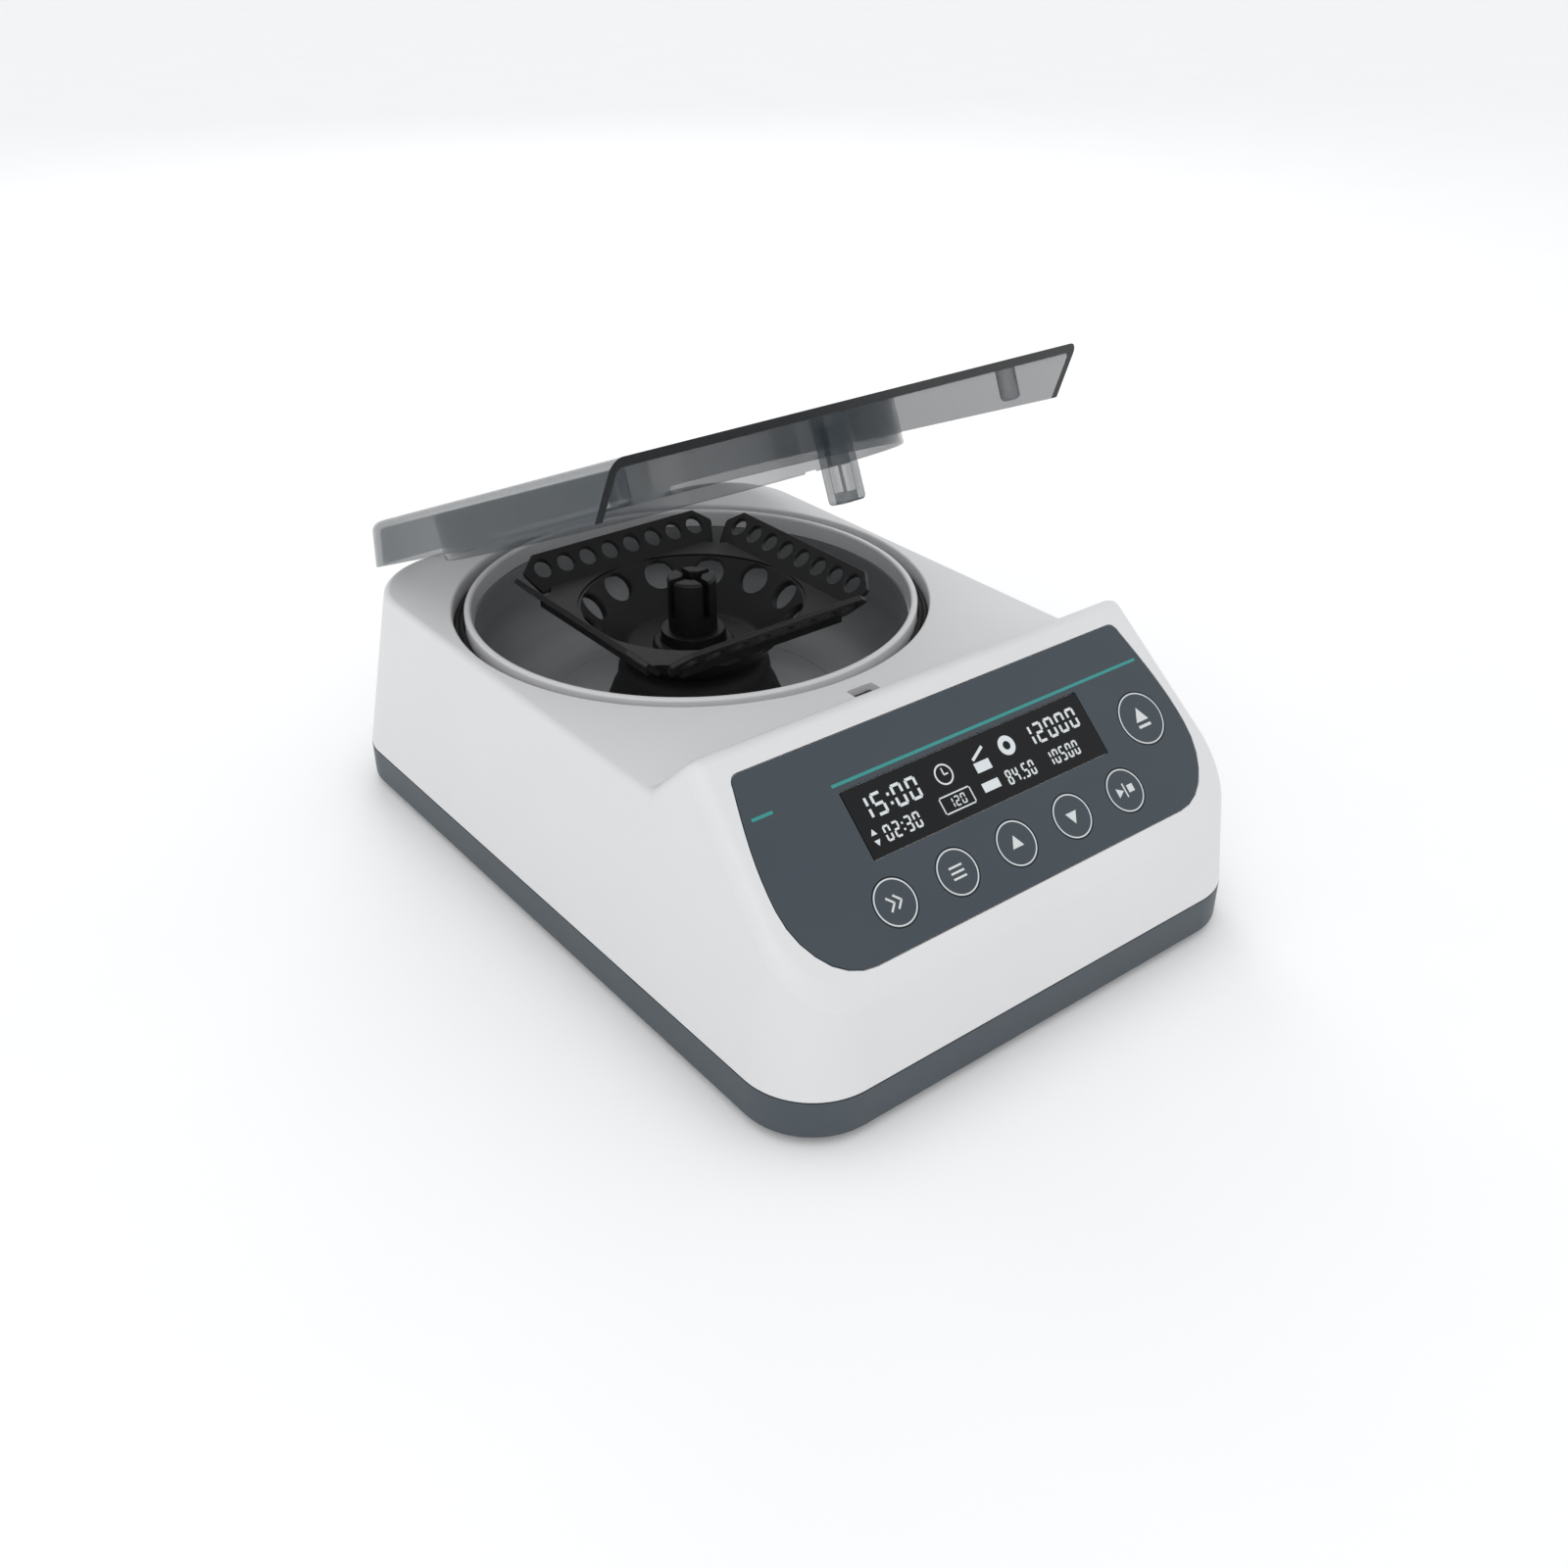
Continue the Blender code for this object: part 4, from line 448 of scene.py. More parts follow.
rings = [(72.3 * MM, 68.67 * MM)] + arc((51.3 * MM, 54.5 * MM), 21 * MM, 0, -90, 24)
rings += [(50.8 * MM, 33.5 * MM), (50.6 * MM, 33.25 * MM), (50.3 * MM, 33.25 * MM), (50.1 * MM, 33.5 * MM),
          (25.4 * MM, 33.5 * MM), (25.0 * MM, 33.1 * MM), (25.0 * MM, 32.1 * MM)]
rings += arc((51.3 * MM, 54.5 * MM), 22.4 * MM, -90, 0, 12)
rings += [(73.7 * MM, 65.25 * MM), (80.15 * MM, 65.25 * MM), (80.15 * MM, 66.65 * MM),
          (74.9 * MM, 66.65 * MM), (74.9 * MM, 68.67 * MM)]
bowl = turn("spun_chamber_bowl", AXIS, rings, 160)
soften(bowl)
finish_piece(bowl, spun_steel, "case", "chamber_metal", "chamber_bowl")

rings = [(24 * MM, 33.8 * MM), (29.9 * MM, 33.8 * MM), (30.3 * MM, 34.2 * MM), (30.3 * MM, 36.2 * MM)]
rings += arc((29.3 * MM, 36.2 * MM), 1.0 * MM, 0, 60, 4)
rings += [(29.3 * MM, 38.6 * MM), (28.3 * MM, 41.2 * MM), (27.2 * MM, 43.2 * MM), (26.6 * MM, 44.6 * MM),
          (26.2 * MM, 46.2 * MM)] + arc((22.5 * MM, 48.2 * MM), 3.5 * MM, 0, 80, 6)
rings += [(18.0 * MM, 52.0 * MM), (5.3 * MM, 52.0 * MM), (5.0 * MM, 51.7 * MM), (5.0 * MM, 50.2 * MM),
          (18.0 * MM, 50.0 * MM), (23.8 * MM, 47.5 * MM)]
boot = turn("rubber_motor_boot", AXIS, rings, 96)
soften(boot)
finish_piece(boot, rubber, "case", "black_rubber", "motor_boot")

# ================================================================ shaft, rotor and clutch
# The rotor is one moulding of black carbon-filled polymer: a cone with twelve tube holes, hung in a flat
# square web, whose four turned-up strips carry eight small tubes each. The rims of its holes are flared
# and the strips' edges rounded. A slotted clutch of the same black clamps it.
rings = [(2.6 * MM, 13.0 * MM), (3.0 * MM, 13.4 * MM), (3.0 * MM, 71.4 * MM), (2.4 * MM, 72.0 * MM)]
shaft = turn("steel_motor_shaft", AXIS, rings, 48, closed=False)
soften(shaft)
finish_piece(shaft, steel, "rotor", "bright_steel", "motor_shaft")

polymer, polymer_shader, polymer_place = new_finish("black_filled_polymer", "161617", 0.46, ior=1.42)
polymer_fine = add_node(polymer, "ShaderNodeTexNoise", {"Scale": 1 / (0.6 * MM), "Detail": 4.0},
                        {"Vector": polymer_place})
polymer_cloud = add_node(polymer, "ShaderNodeTexNoise", {"Scale": 1 / (14 * MM), "Detail": 3.0},
                         {"Vector": polymer_place})
polymer_tint = add_node(polymer, "ShaderNodeMix", {"data_type": "RGBA", "A": from_hex("121213"),
                                                   "B": from_hex("1A1A1B")},
                        {"Factor": polymer_cloud.outputs["Fac"]})
polymer_gloss = add_node(polymer, "ShaderNodeMapRange", {"To Min": 0.4, "To Max": 0.54},
                         {"Value": polymer_fine.outputs["Fac"]})
polymer_bump = add_node(polymer, "ShaderNodeBump", {"Strength": 0.25, "Distance": 0.03 * MM},
                        {"Height": polymer_fine.outputs["Fac"]})
polymer.node_tree.links.new(polymer_tint.outputs["Result"], polymer_shader.inputs["Base Color"])
polymer.node_tree.links.new(polymer_gloss.outputs["Result"], polymer_shader.inputs["Roughness"])
polymer.node_tree.links.new(polymer_bump.outputs["Normal"], polymer_shader.inputs["Normal"])


def set_in(thing, *frames):
    """Moves a piece through frames, outermost first, and leaves the move in its mesh."""
    place = Matrix.Identity(4)
    for step in frames:
        place = place @ step
    thing.matrix_world = place
    only(thing)
    bpy.ops.object.transform_apply(location=True, rotation=True, scale=True)
    return thing


def row_plate(name, rows, low, high, rounding):
    """A flat plate drawn by its half width at each of its rows of Y, its long edges rounded."""
    count = len(rows)
    bpy.ops.mesh.primitive_grid_add(x_subdivisions=1, y_subdivisions=count - 1, size=1.0,
                                    location=(0, 0, low))
    made = take_new(name)
    bpy.ops.object.mode_set(mode="EDIT")
    for row, (y, half) in enumerate(rows):
        now = row / (count - 1) - 0.5
        pick(made, "VERT", lambda place, vert: vert.index // 2 == row)
        bpy.ops.transform.resize(value=(2 * half, 1, 1), center_override=(0, now, low))
        bpy.ops.transform.translate(value=(0, y - now, 0))
    bpy.ops.mesh.select_all(action="SELECT")
    bpy.ops.mesh.dissolve_limited(angle_limit=0.001)
    bpy.ops.mesh.select_all(action="SELECT")
    bpy.ops.mesh.extrude_region_move(TRANSFORM_OT_translate={"value": (0, 0, high - low)})
    bpy.ops.mesh.select_all(action="SELECT")
    bpy.ops.mesh.normals_make_consistent(inside=False)
    if rounding:
        pick(made, "EDGE", lambda place, edge: abs(edge.verts[0].co.z - edge.verts[1].co.z) < 0.001 * MM)
        bpy.ops.mesh.bevel(offset=rounding, segments=3, affect="EDGES", clamp_overlap=False)
    bpy.ops.object.mode_set(mode="OBJECT")
    return made


SPIN = Matrix.Translation((*AXIS, 0.0))
LEAN_IN = Matrix.Rotation(math.radians(45), 4, "X")
rings = [(37.2 * MM, 71.9 * MM), (40.03 * MM, 71.9 * MM), (24.4 * MM, 54.9 * MM), (23.6 * MM, 54.5 * MM),
         (5.0 * MM, 54.5 * MM), (5.0 * MM, 62.5 * MM), (10.4 * MM, 62.5 * MM), (10.85 * MM, 62.3 * MM),
         (11.0 * MM, 61.9 * MM), (11.0 * MM, 58.4 * MM), (11.4 * MM, 58.0 * MM), (13.1 * MM, 58.0 * MM),
         (13.6 * MM, 57.5 * MM), (13.6 * MM, 56.9 * MM), (14.0 * MM, 56.5 * MM), (21.6 * MM, 56.5 * MM),
         (22.6 * MM, 56.8 * MM), (23.5 * MM, 57.5 * MM)]
rotor = turn("polymer_rotor", AXIS, rings, 96)
web_edge = block("web", (-39.75 * MM, AXIS[1] - 39.75 * MM, 69.5 * MM),
                 (39.75 * MM, AXIS[1] + 39.75 * MM, 72.5 * MM))
for sx, sy in ((1, 1), (1, -1), (-1, 1), (-1, -1)):
    carve(web_edge, drum("notch", 8 * MM, 60 * MM, 80 * MM,
                         (sx * 39.95 * MM, AXIS[1] + sy * 39.95 * MM), 48))
carve(web_edge, drum("mouth", 38.2 * MM, 60 * MM, 80 * MM, AXIS, 96))
carve(rotor, web_edge, "UNION")
for side in range(4):
    around = Matrix.Rotation(side * math.pi / 2, 4, "Z")
    lean = Matrix.Translation((0, 42.85 * MM, 77.4 * MM)) @ LEAN_IN
    rows = [(-8.41 * MM, 35.5 * MM), (-0.8 * MM, 38.8 * MM), (0.6 * MM, 38.8 * MM), (5.7 * MM, 33.4 * MM)]
    strip = row_plate("strip", rows, -1.8 * MM, 0.0, 0.35 * MM)
    for hole in range(8):
        rings = [(3.2 * MM, -5 * MM), (3.2 * MM, -0.35 * MM), (3.6 * MM, 0.05 * MM), (3.6 * MM, 3 * MM)]
        carve(strip, turn("strip_bit", ((hole - 3.5) * 9 * MM, 0), rings, 32, closed=False))
    carve(rotor, set_in(strip, SPIN, around, lean), "UNION", "MANIFOLD")
for tube in range(12):
    around = Matrix.Rotation(math.radians(15 + 30 * tube), 4, "Z")
    rings = [(5.3 * MM, -6 * MM), (5.3 * MM, -0.5 * MM), (5.45 * MM, -0.15 * MM), (5.8 * MM, 0.02 * MM),
             (5.8 * MM, 6 * MM)]
    bit = turn("tube_bit", (0, 0), rings, 48, closed=False)
    set_in(bit, SPIN, around, Matrix.Translation((0, 33.3 * MM, 68.0 * MM)), LEAN_IN)
    carve(rotor, bit, solver="MANIFOLD")
soften(rotor)
finish_piece(rotor, polymer, "rotor", "rotor_polymer", "rotor_body")

rings = [(3.6 * MM, 81 * MM)] + arc((7.2 * MM, 80 * MM), 1.0 * MM, 90, 0, 6)
rings += [(8.2 * MM, 62.8 * MM), (4.7 * MM, 62.8 * MM), (4.7 * MM, 54.5 * MM), (3.3 * MM, 54.5 * MM),
          (3.3 * MM, 80.7 * MM)]
clutch = turn("slotted_clutch", AXIS, rings, 64)
for plan in ((1.3 * MM, 12 * MM), (12 * MM, 1.3 * MM)):
    carve(clutch, block("slot", (-plan[0], AXIS[1] - plan[1], 68 * MM),
                        (plan[0], AXIS[1] + plan[1], 90 * MM)))
soften(clutch)
finish_piece(clutch, polymer, "rotor", "rotor_polymer", "rotor_clutch")

# ================================================================ upper case
# One injection moulding of white ABS: deck, sloping console and walls. Its outer edges are rounded, the
# console's most of all, so that its top edge catches the light as a bright line. Outside form first,
# then the hollow, then the holes.
SHELL_LOW = 14.8 * MM
CREASE = -55.7 * MM
RIDGE = Vector((0, -73.0 * MM, 92.25 * MM))
PANEL_TILT = Matrix.Rotation(math.radians(42.24), 4, "X")
ON_PANEL = Matrix.Translation(RIDGE) @ PANEL_TILT
ON_REAR = Matrix.Translation((0, 126.766 * MM, 40 * MM)) @ Matrix.Rotation(math.atan(LEAN), 4, "X")
PANEL_UP = PANEL_TILT @ Vector((0, 0, 1))
BACK_UP = Vector((0, 1, 1)).normalized()


def console_form(name, low, inset, panel_inset):
    """The case's outside form or its hollow: walls, deck, back of the console and panel."""
    form = case_form(name, [(low, inset), (97.25 * MM, inset)])
    foot_y = CREASE - 0.414 * inset
    foot_z = DECK - inset
    wedge = block("deck_wedge", (-0.2, foot_y, foot_z), (0.2, 0.3, 0.2))
    bpy.ops.object.mode_set(mode="EDIT")
    pick(wedge, "VERT", lambda place, vert: place.y < foot_y + MM and place.z > 0.19)
    bpy.ops.transform.translate(value=(0, foot_z - 0.2, 0))
    bpy.ops.object.mode_set(mode="OBJECT")
    carve(form, wedge)
    only(form)
    bpy.ops.object.mode_set(mode="EDIT")
    bpy.ops.mesh.select_all(action="SELECT")
    bpy.ops.mesh.bisect(plane_co=RIDGE - PANEL_UP * panel_inset, plane_no=PANEL_UP, use_fill=True,
                        clear_outer=True, threshold=0.001 * MM)
    bpy.ops.mesh.select_all(action="SELECT")
    bpy.ops.mesh.remove_doubles(threshold=0.01 * MM)
    bpy.ops.mesh.normals_make_consistent(inside=False)
    bpy.ops.object.mode_set(mode="OBJECT")
    return form


def side_of(face):
    """Which side of the case a face belongs to."""
    if face.normal.dot(PANEL_UP) > 0.999:
        return "panel"
    if face.normal.dot(BACK_UP) > 0.999:
        return "back"
    if face.normal.z > 0.999:
        return "deck"
    return "bottom" if face.normal.z < -0.9 else "wall"


shell = console_form("case_moulding", SHELL_LOW, 0.0, 0.0)
SHARES = {("panel", "wall"): 1.0, ("back", "panel"): 0.8, ("back", "wall"): 0.8, ("back", "deck"): 0.45,
          ("deck", "wall"): 0.45, ("bottom", "wall"): 0.06}
form = bmesh.new()
form.from_mesh(shell.data)
form.normal_update()
share = form.edges.layers.float.new("bevel_weight_edge")
for edge in form.edges:
    if len(edge.link_faces) == 2:
        pair = tuple(sorted(side_of(face) for face in edge.link_faces))
        edge[share] = SHARES.get(pair, 0.0)
form.to_mesh(shell.data)
form.free()
apply_step(shell, "BEVEL", width=4.6 * MM, segments=7, limit_method="WEIGHT", use_clamp_overlap=False)
carve(shell, console_form("case_hollow", 12.8 * MM, WALL, 3.2 * MM))
pillar_tops = {-105 * MM: 42.0 * MM, 107 * MM: 73.9 * MM}
for x, y in FOOT_PLACES:
    carve(shell, drum("screw_pillar", 4.2 * MM, 5.8 * MM, pillar_tops[y], (x, y)), "UNION")
carve(shell, drum("hole_collar", 80.35 * MM, 66.95 * MM, 74.0 * MM, AXIS, 160), "UNION")
rings = [(78.95 * MM, 60 * MM)] + arc((79.75 * MM, 74.15 * MM), 0.8 * MM, 180, 90, 4)
rings += [(79.75 * MM, 80 * MM)]
carve(shell, turn("deck_hole", AXIS, rings, 160, closed=False))
carve(shell, block("latch_slot", (-4.9 * MM, -54.3 * MM, 70 * MM), (4.9 * MM, -45.5 * MM, 80 * MM),
                   0.8 * MM, upright))
for sx in (1, -1):
    carve(shell, block("hinge_notch", (sx * 39 * MM - 13.6 * MM, 116.61 * MM, 60.7 * MM),
                       (sx * 39 * MM + 13.6 * MM, 0.15, 0.09), 0.6 * MM,
                       lambda place, edge: upright(place, edge) and place.y < 0.12))
for step in range(7):
    z = (24 + 5.5 * step) * MM
    carve(shell, block("rear_vent", (-17 * MM, 0.11, z - 1.1 * MM), (17 * MM, 0.14, z + 1.1 * MM), 1.05 * MM,
                       lambda place, edge: abs(edge.verts[0].co.y - edge.verts[1].co.y) > 0.01))
carve(shell, set_in(block("inlet_hole", (30.7 * MM, -0.01, -10.55 * MM), (59.3 * MM, 0.01, 10.55 * MM)),
                    ON_REAR))
carve(shell, set_in(block("switch_hole", (-54.8 * MM, -0.01, -6.55 * MM), (-35.2 * MM, 0.01, 6.55 * MM)),
                    ON_REAR))

# ---------------------------------------------------------------- panel recess and key wells
# The panel lies in a shallow recess of its own outline, moulded into the case, with a window for the
# display and a round well for each key. The recess's edge is left sharp, so that a fine dark joint shows.
PANEL_ROWS = []
for step in range(8):
    angle = math.pi / 2 * (1 - step / 7)
    PANEL_ROWS.append((-67.2 * MM + 23.2 * MM * (1 - math.sin(angle)),
                       58.5 * MM + 19.3 * MM * math.cos(angle)))
for step in range(1, 9):
    PANEL_ROWS.append(((-44.0 + 33.0 * step / 8) * MM,
                       (72.5 + 5.3 * math.cos(math.pi / 2 * step / 8)) * MM))
for step in range(1, 6):
    angle = math.pi / 2 * step / 5
    PANEL_ROWS.append((-11 * MM + 3 * MM * math.sin(angle), 69.5 * MM + 3 * MM * math.cos(angle)))
KEY_SPOTS = [((-45.1 + 22.15 * i) * MM, -54.9 * MM, 6.8 * MM) for i in range(5)]
KEY_SPOTS.append((63.1 * MM, -37.8 * MM, 8.4 * MM))
recess_rows = [(y - 0.3 * MM if y < -60 * MM else y + 0.3 * MM if y > -9 * MM else y, half + 0.3 * MM)
               for y, half in PANEL_ROWS]
carve(shell, set_in(row_plate("panel_recess", recess_rows, -1.05 * MM, 6 * MM, 0.0), ON_PANEL))
carve(shell, set_in(block("display_window", (-43.1 * MM, -41.2 * MM, -8 * MM),
                          (43.1 * MM, -24.5 * MM, 4 * MM), 0.5 * MM, upright), ON_PANEL))
for x, y, radius in KEY_SPOTS:
    carve(shell, set_in(drum("key_well", radius + 1.2 * MM, -8 * MM, 4 * MM, (x, y), 48), ON_PANEL))
soften(shell)
finish_piece(shell, white_abs, "case", "white_case", "upper_shell")

# ================================================================ control panel
# A satin polycarbonate film, printed slate grey from behind, with one teal rule across it. Its surface
# has the fine velvet grain that such films have. The keys are domes of the same film, each ringed in
# white; their plain symbols stand in for the lettering of the real ones.
film, film_shader, film_place = new_finish("printed_velvet_film", "39424A", 0.5, ior=1.42)
film_grain = add_node(film, "ShaderNodeTexNoise", {"Scale": 1 / (0.35 * MM), "Detail": 3.0},
                      {"Vector": film_place})
film_wipe = add_node(film, "ShaderNodeTexNoise", {"Scale": 1 / (22 * MM), "Detail": 4.0},
                     {"Vector": film_place})
film_tint = add_node(film, "ShaderNodeMix", {"data_type": "RGBA", "A": from_hex("364048"),
                                             "B": from_hex("3C454C")}, {"Factor": film_wipe.outputs["Fac"]})
film_gloss = add_node(film, "ShaderNodeMapRange", {"To Min": 0.42, "To Max": 0.56},
                      {"Value": film_wipe.outputs["Fac"]})
film_bump = add_node(film, "ShaderNodeBump", {"Strength": 0.2, "Distance": 0.02 * MM},
                     {"Height": film_grain.outputs["Fac"]})
film.node_tree.links.new(film_tint.outputs["Result"], film_shader.inputs["Base Color"])
film.node_tree.links.new(film_gloss.outputs["Result"], film_shader.inputs["Roughness"])
film.node_tree.links.new(film_bump.outputs["Normal"], film_shader.inputs["Normal"])

overlay = row_plate("panel_film", PANEL_ROWS, -0.7 * MM, 0.1 * MM, 0.12 * MM)
carve(overlay, block("film_window", (-45.0 * MM, -43.1 * MM, -0.01), (45.0 * MM, -22.6 * MM, 0.01),
                     0.6 * MM, upright))
for x, y, radius in KEY_SPOTS:
    carve(overlay, drum("film_hole", radius + 0.25 * MM, -0.01, 0.01, (x, y), 64))
set_in(overlay, ON_PANEL)
soften(overlay)
finish_piece(overlay, film, "case", "panel_overlay", "panel_overlay")


def printed_ink(name, colour, roughness, thin_colour):
    """Screen-printed ink: nearly flat, with the slight mottle of the mesh it was pressed through."""
    made, shader, place = new_finish(name, colour, roughness)
    mesh_mark = add_node(made, "ShaderNodeTexNoise", {"Scale": 1 / (0.5 * MM), "Detail": 2.0},
                         {"Vector": place})
    tone = add_node(made, "ShaderNodeMix", {"data_type": "RGBA", "A": from_hex(colour),
                                            "B": from_hex(thin_colour)},
                    {"Factor": mesh_mark.outputs["Fac"]})
    made.node_tree.links.new(tone.outputs["Result"], shader.inputs["Base Color"])
    return made


teal_ink = printed_ink("teal_screen_ink", "2A908C", 0.5, "258682")
white_ink = printed_ink("white_screen_ink", "D6D8D8", 0.5, "CACDCE")
INK_LOW = 0.09 * MM
INK_TOP = 0.13 * MM


def stroke(x, y, width, height, turn_by=0.0):
    """Adds one flat printed bar to the piece that is being edited; sizes in millimetres."""
    bpy.ops.mesh.primitive_cube_add(size=1.0, location=(x * MM, y * MM, (INK_LOW + INK_TOP) / 2),
                                    rotation=(0, 0, turn_by),
                                    scale=(width * MM, height * MM, INK_TOP - INK_LOW))


rule = block("teal_rule", (-46.1 * MM, -21.15 * MM, INK_LOW), (72.6 * MM, -20.25 * MM, INK_TOP))
bpy.ops.object.mode_set(mode="EDIT")
stroke(-68.85, -20.7, 6.7, 0.9)
bpy.ops.object.mode_set(mode="OBJECT")
set_in(rule, ON_PANEL)
finish_piece(rule, teal_ink, "case", "panel_overlay")

# ---------------------------------------------------------------- keys and their symbols
# Each key is a turned cap with a flange that holds it under the film and a stem down to its switch. The
# white ring and symbol are ink on the cap, so they ride with it.
key_names = [f"key_{i}" for i in range(5)] + ["lid_open_key"]
for name, (x, y, radius) in zip(key_names, KEY_SPOTS):
    flange = radius + 0.8 * MM
    rings = [(1.6 * MM, -5.0 * MM), (1.6 * MM, -1.75 * MM), (flange, -1.75 * MM), (flange, -0.9 * MM),
             (radius, -0.85 * MM), (radius, -0.05 * MM), (radius - 0.05 * MM, 0.06 * MM),
             (radius - 0.18 * MM, 0.1 * MM)]
    cap = set_in(turn(name + "_cap", (x, y), rings, 64, closed=False), ON_PANEL)
    soften(cap)
    finish_piece(cap, film, name, "panel_overlay", name)
    marks = turn(name + "_print", (x, y), [(radius - 0.62 * MM, INK_LOW), (radius - 0.22 * MM, INK_LOW),
                                           (radius - 0.22 * MM, INK_TOP), (radius - 0.62 * MM, INK_TOP)], 64)
    only(marks)
    bpy.ops.object.mode_set(mode="EDIT")
    u, v = x / MM, y / MM
    if name == "key_0":
        for shift in (-1.3, 1.1):
            stroke(u + shift, v + 0.95, 0.6, 2.9, math.radians(45))
            stroke(u + shift, v - 0.95, 0.6, 2.9, math.radians(-45))
    elif name == "key_1":
        for lift in (-1.6, 0.0, 1.6):
            stroke(u, v + lift, 4.6, 0.6)
    elif name in ("key_2", "key_3"):
        point = 90 if name == "key_2" else -90
        bpy.ops.mesh.primitive_cylinder_add(vertices=3, radius=2.4 * MM, depth=INK_TOP - INK_LOW,
                                            location=(x, y, (INK_LOW + INK_TOP) / 2),
                                            rotation=(0, 0, math.radians(point - 90)))
    elif name == "key_4":
        bpy.ops.mesh.primitive_cylinder_add(vertices=3, radius=1.7 * MM, depth=INK_TOP - INK_LOW,
                                            location=(x - 2.3 * MM, y, (INK_LOW + INK_TOP) / 2),
                                            rotation=(0, 0, math.radians(-90)))
        stroke(u, v, 0.5, 4.4)
        stroke(u + 2.3, v, 2.3, 2.3)
    else:
        bpy.ops.mesh.primitive_cylinder_add(vertices=3, radius=2.9 * MM, depth=INK_TOP - INK_LOW,
                                            location=(x, y + 0.6 * MM, (INK_LOW + INK_TOP) / 2))
        stroke(u, v - 2.4, 5.0, 0.9)
    bpy.ops.object.mode_set(mode="OBJECT")
    set_in(marks, ON_PANEL)
    finish_piece(marks, white_ink, name, "panel_overlay")

# ---------------------------------------------------------------- display
# A dark glossy liquid-crystal window flush with the film. Its figures and small signs are pale segments
# just under the glass; the readings are plain numbers.
display_black, display_shader, display_place = new_finish("black_display_glass", "0E0F11", 0.1, ior=1.3)
display_smear = add_node(display_black, "ShaderNodeTexNoise", {"Scale": 1 / (12 * MM), "Detail": 4.0},
                         {"Vector": display_place})
display_gloss = add_node(display_black, "ShaderNodeMapRange", {"To Min": 0.06, "To Max": 0.22},
                         {"Value": display_smear.outputs["Fac"]})
display_black.node_tree.links.new(display_gloss.outputs["Result"], display_shader.inputs["Roughness"])
glass = block("display_window_glass", (-44.7 * MM, -42.8 * MM, -0.65 * MM),
              (44.7 * MM, -22.9 * MM, 0.1 * MM), 0.4 * MM, upright)
set_in(glass, ON_PANEL)
soften(glass)
finish_piece(glass, display_black, "case", "display", "display_glass")

segment_ink = printed_ink("pale_display_segments", "DDE2E4", 0.35, "CCD2D5")
SEGMENTS = {"0": "abcdef", "1": "bc", "2": "abged", "3": "abgcd", "4": "fgbc", "5": "afgcd", "6": "afgecd",
            "7": "abc", "8": "abcdefg", "9": "abcdfg", "-": "g", " ": ""}


def figures(text, left, top, width, height):
    """Seven-segment figures from left to right in a box on the display; sizes in millimetres."""
    count = len(text) - 0.6 * sum(text.count(mark) for mark in ":.")
    step = width / count
    thick = 0.13 * height
    wide = 0.74 * step
    x = left
    for sign in text:
        if sign in ":.":
            for share in ((0.3, 0.7) if sign == ":" else (1.0,)):
                stroke(x + 0.12 * step, top - share * height + (0.5 * thick if share == 1.0 else 0), thick,
                       thick)
            x += 0.4 * step
            continue
        middle, half, arm = x + wide / 2, height / 2, wide - 1.1 * thick
        bars = {"a": (middle, top - thick / 2, arm, thick), "g": (middle, top - half, arm, thick),
                "d": (middle, top - height + thick / 2, arm, thick)}
        for key, place_x, share in (("f", x + thick / 2, 0.25), ("b", x + wide - thick / 2, 0.25),
                                    ("e", x + thick / 2, 0.75), ("c", x + wide - thick / 2, 0.75)):
            bars[key] = (place_x, top - share * height, thick, half - 1.1 * thick)
        for key in SEGMENTS[sign]:
            stroke(*bars[key])
        x += step


def ring_mark(x, y, outer, inner):
    """Adds one flat ring to the marks on the display; sizes in millimetres."""
    return turn("ring_mark", (x * MM, y * MM), [(inner * MM, INK_LOW), (outer * MM, INK_LOW),
                                                (outer * MM, INK_TOP), (inner * MM, INK_TOP)], 48)


LCD_LEFT, LCD_TOP, LCD_WIDE, LCD_HIGH = -44.7, -22.9, 89.4, 19.9
marks = [ring_mark(LCD_LEFT + 0.37 * LCD_WIDE, LCD_TOP - 0.33 * LCD_HIGH, 3.1, 2.6),
         ring_mark(LCD_LEFT + 0.642 * LCD_WIDE, LCD_TOP - 0.31 * LCD_HIGH, 2.95, 1.3)]
only(*marks)
bpy.ops.object.join()
segments = bpy.context.object
segments.name = "display_segments"
bpy.ops.object.mode_set(mode="EDIT")
figures("15:00", LCD_LEFT + 0.03 * LCD_WIDE, LCD_TOP - 0.17 * LCD_HIGH, 0.25 * LCD_WIDE, 6.6)
figures("12000", LCD_LEFT + 0.72 * LCD_WIDE, LCD_TOP - 0.17 * LCD_HIGH, 0.25 * LCD_WIDE, 6.2)
figures("02:30", LCD_LEFT + 0.075 * LCD_WIDE, LCD_TOP - 0.63 * LCD_HIGH, 0.15 * LCD_WIDE, 4.6)
figures("120", LCD_LEFT + 0.335 * LCD_WIDE, LCD_TOP - 0.66 * LCD_HIGH, 0.075 * LCD_WIDE, 3.0)
figures("84.50", LCD_LEFT + 0.58 * LCD_WIDE, LCD_TOP - 0.63 * LCD_HIGH, 0.13 * LCD_WIDE, 4.4)
figures("10500", LCD_LEFT + 0.76 * LCD_WIDE, LCD_TOP - 0.63 * LCD_HIGH, 0.15 * LCD_WIDE, 4.4)
clock_x, clock_y = LCD_LEFT + 0.37 * LCD_WIDE, LCD_TOP - 0.33 * LCD_HIGH
stroke(clock_x, clock_y + 0.9, 0.45, 2.0)
stroke(clock_x + 0.7, clock_y - 0.1, 1.6, 0.45)
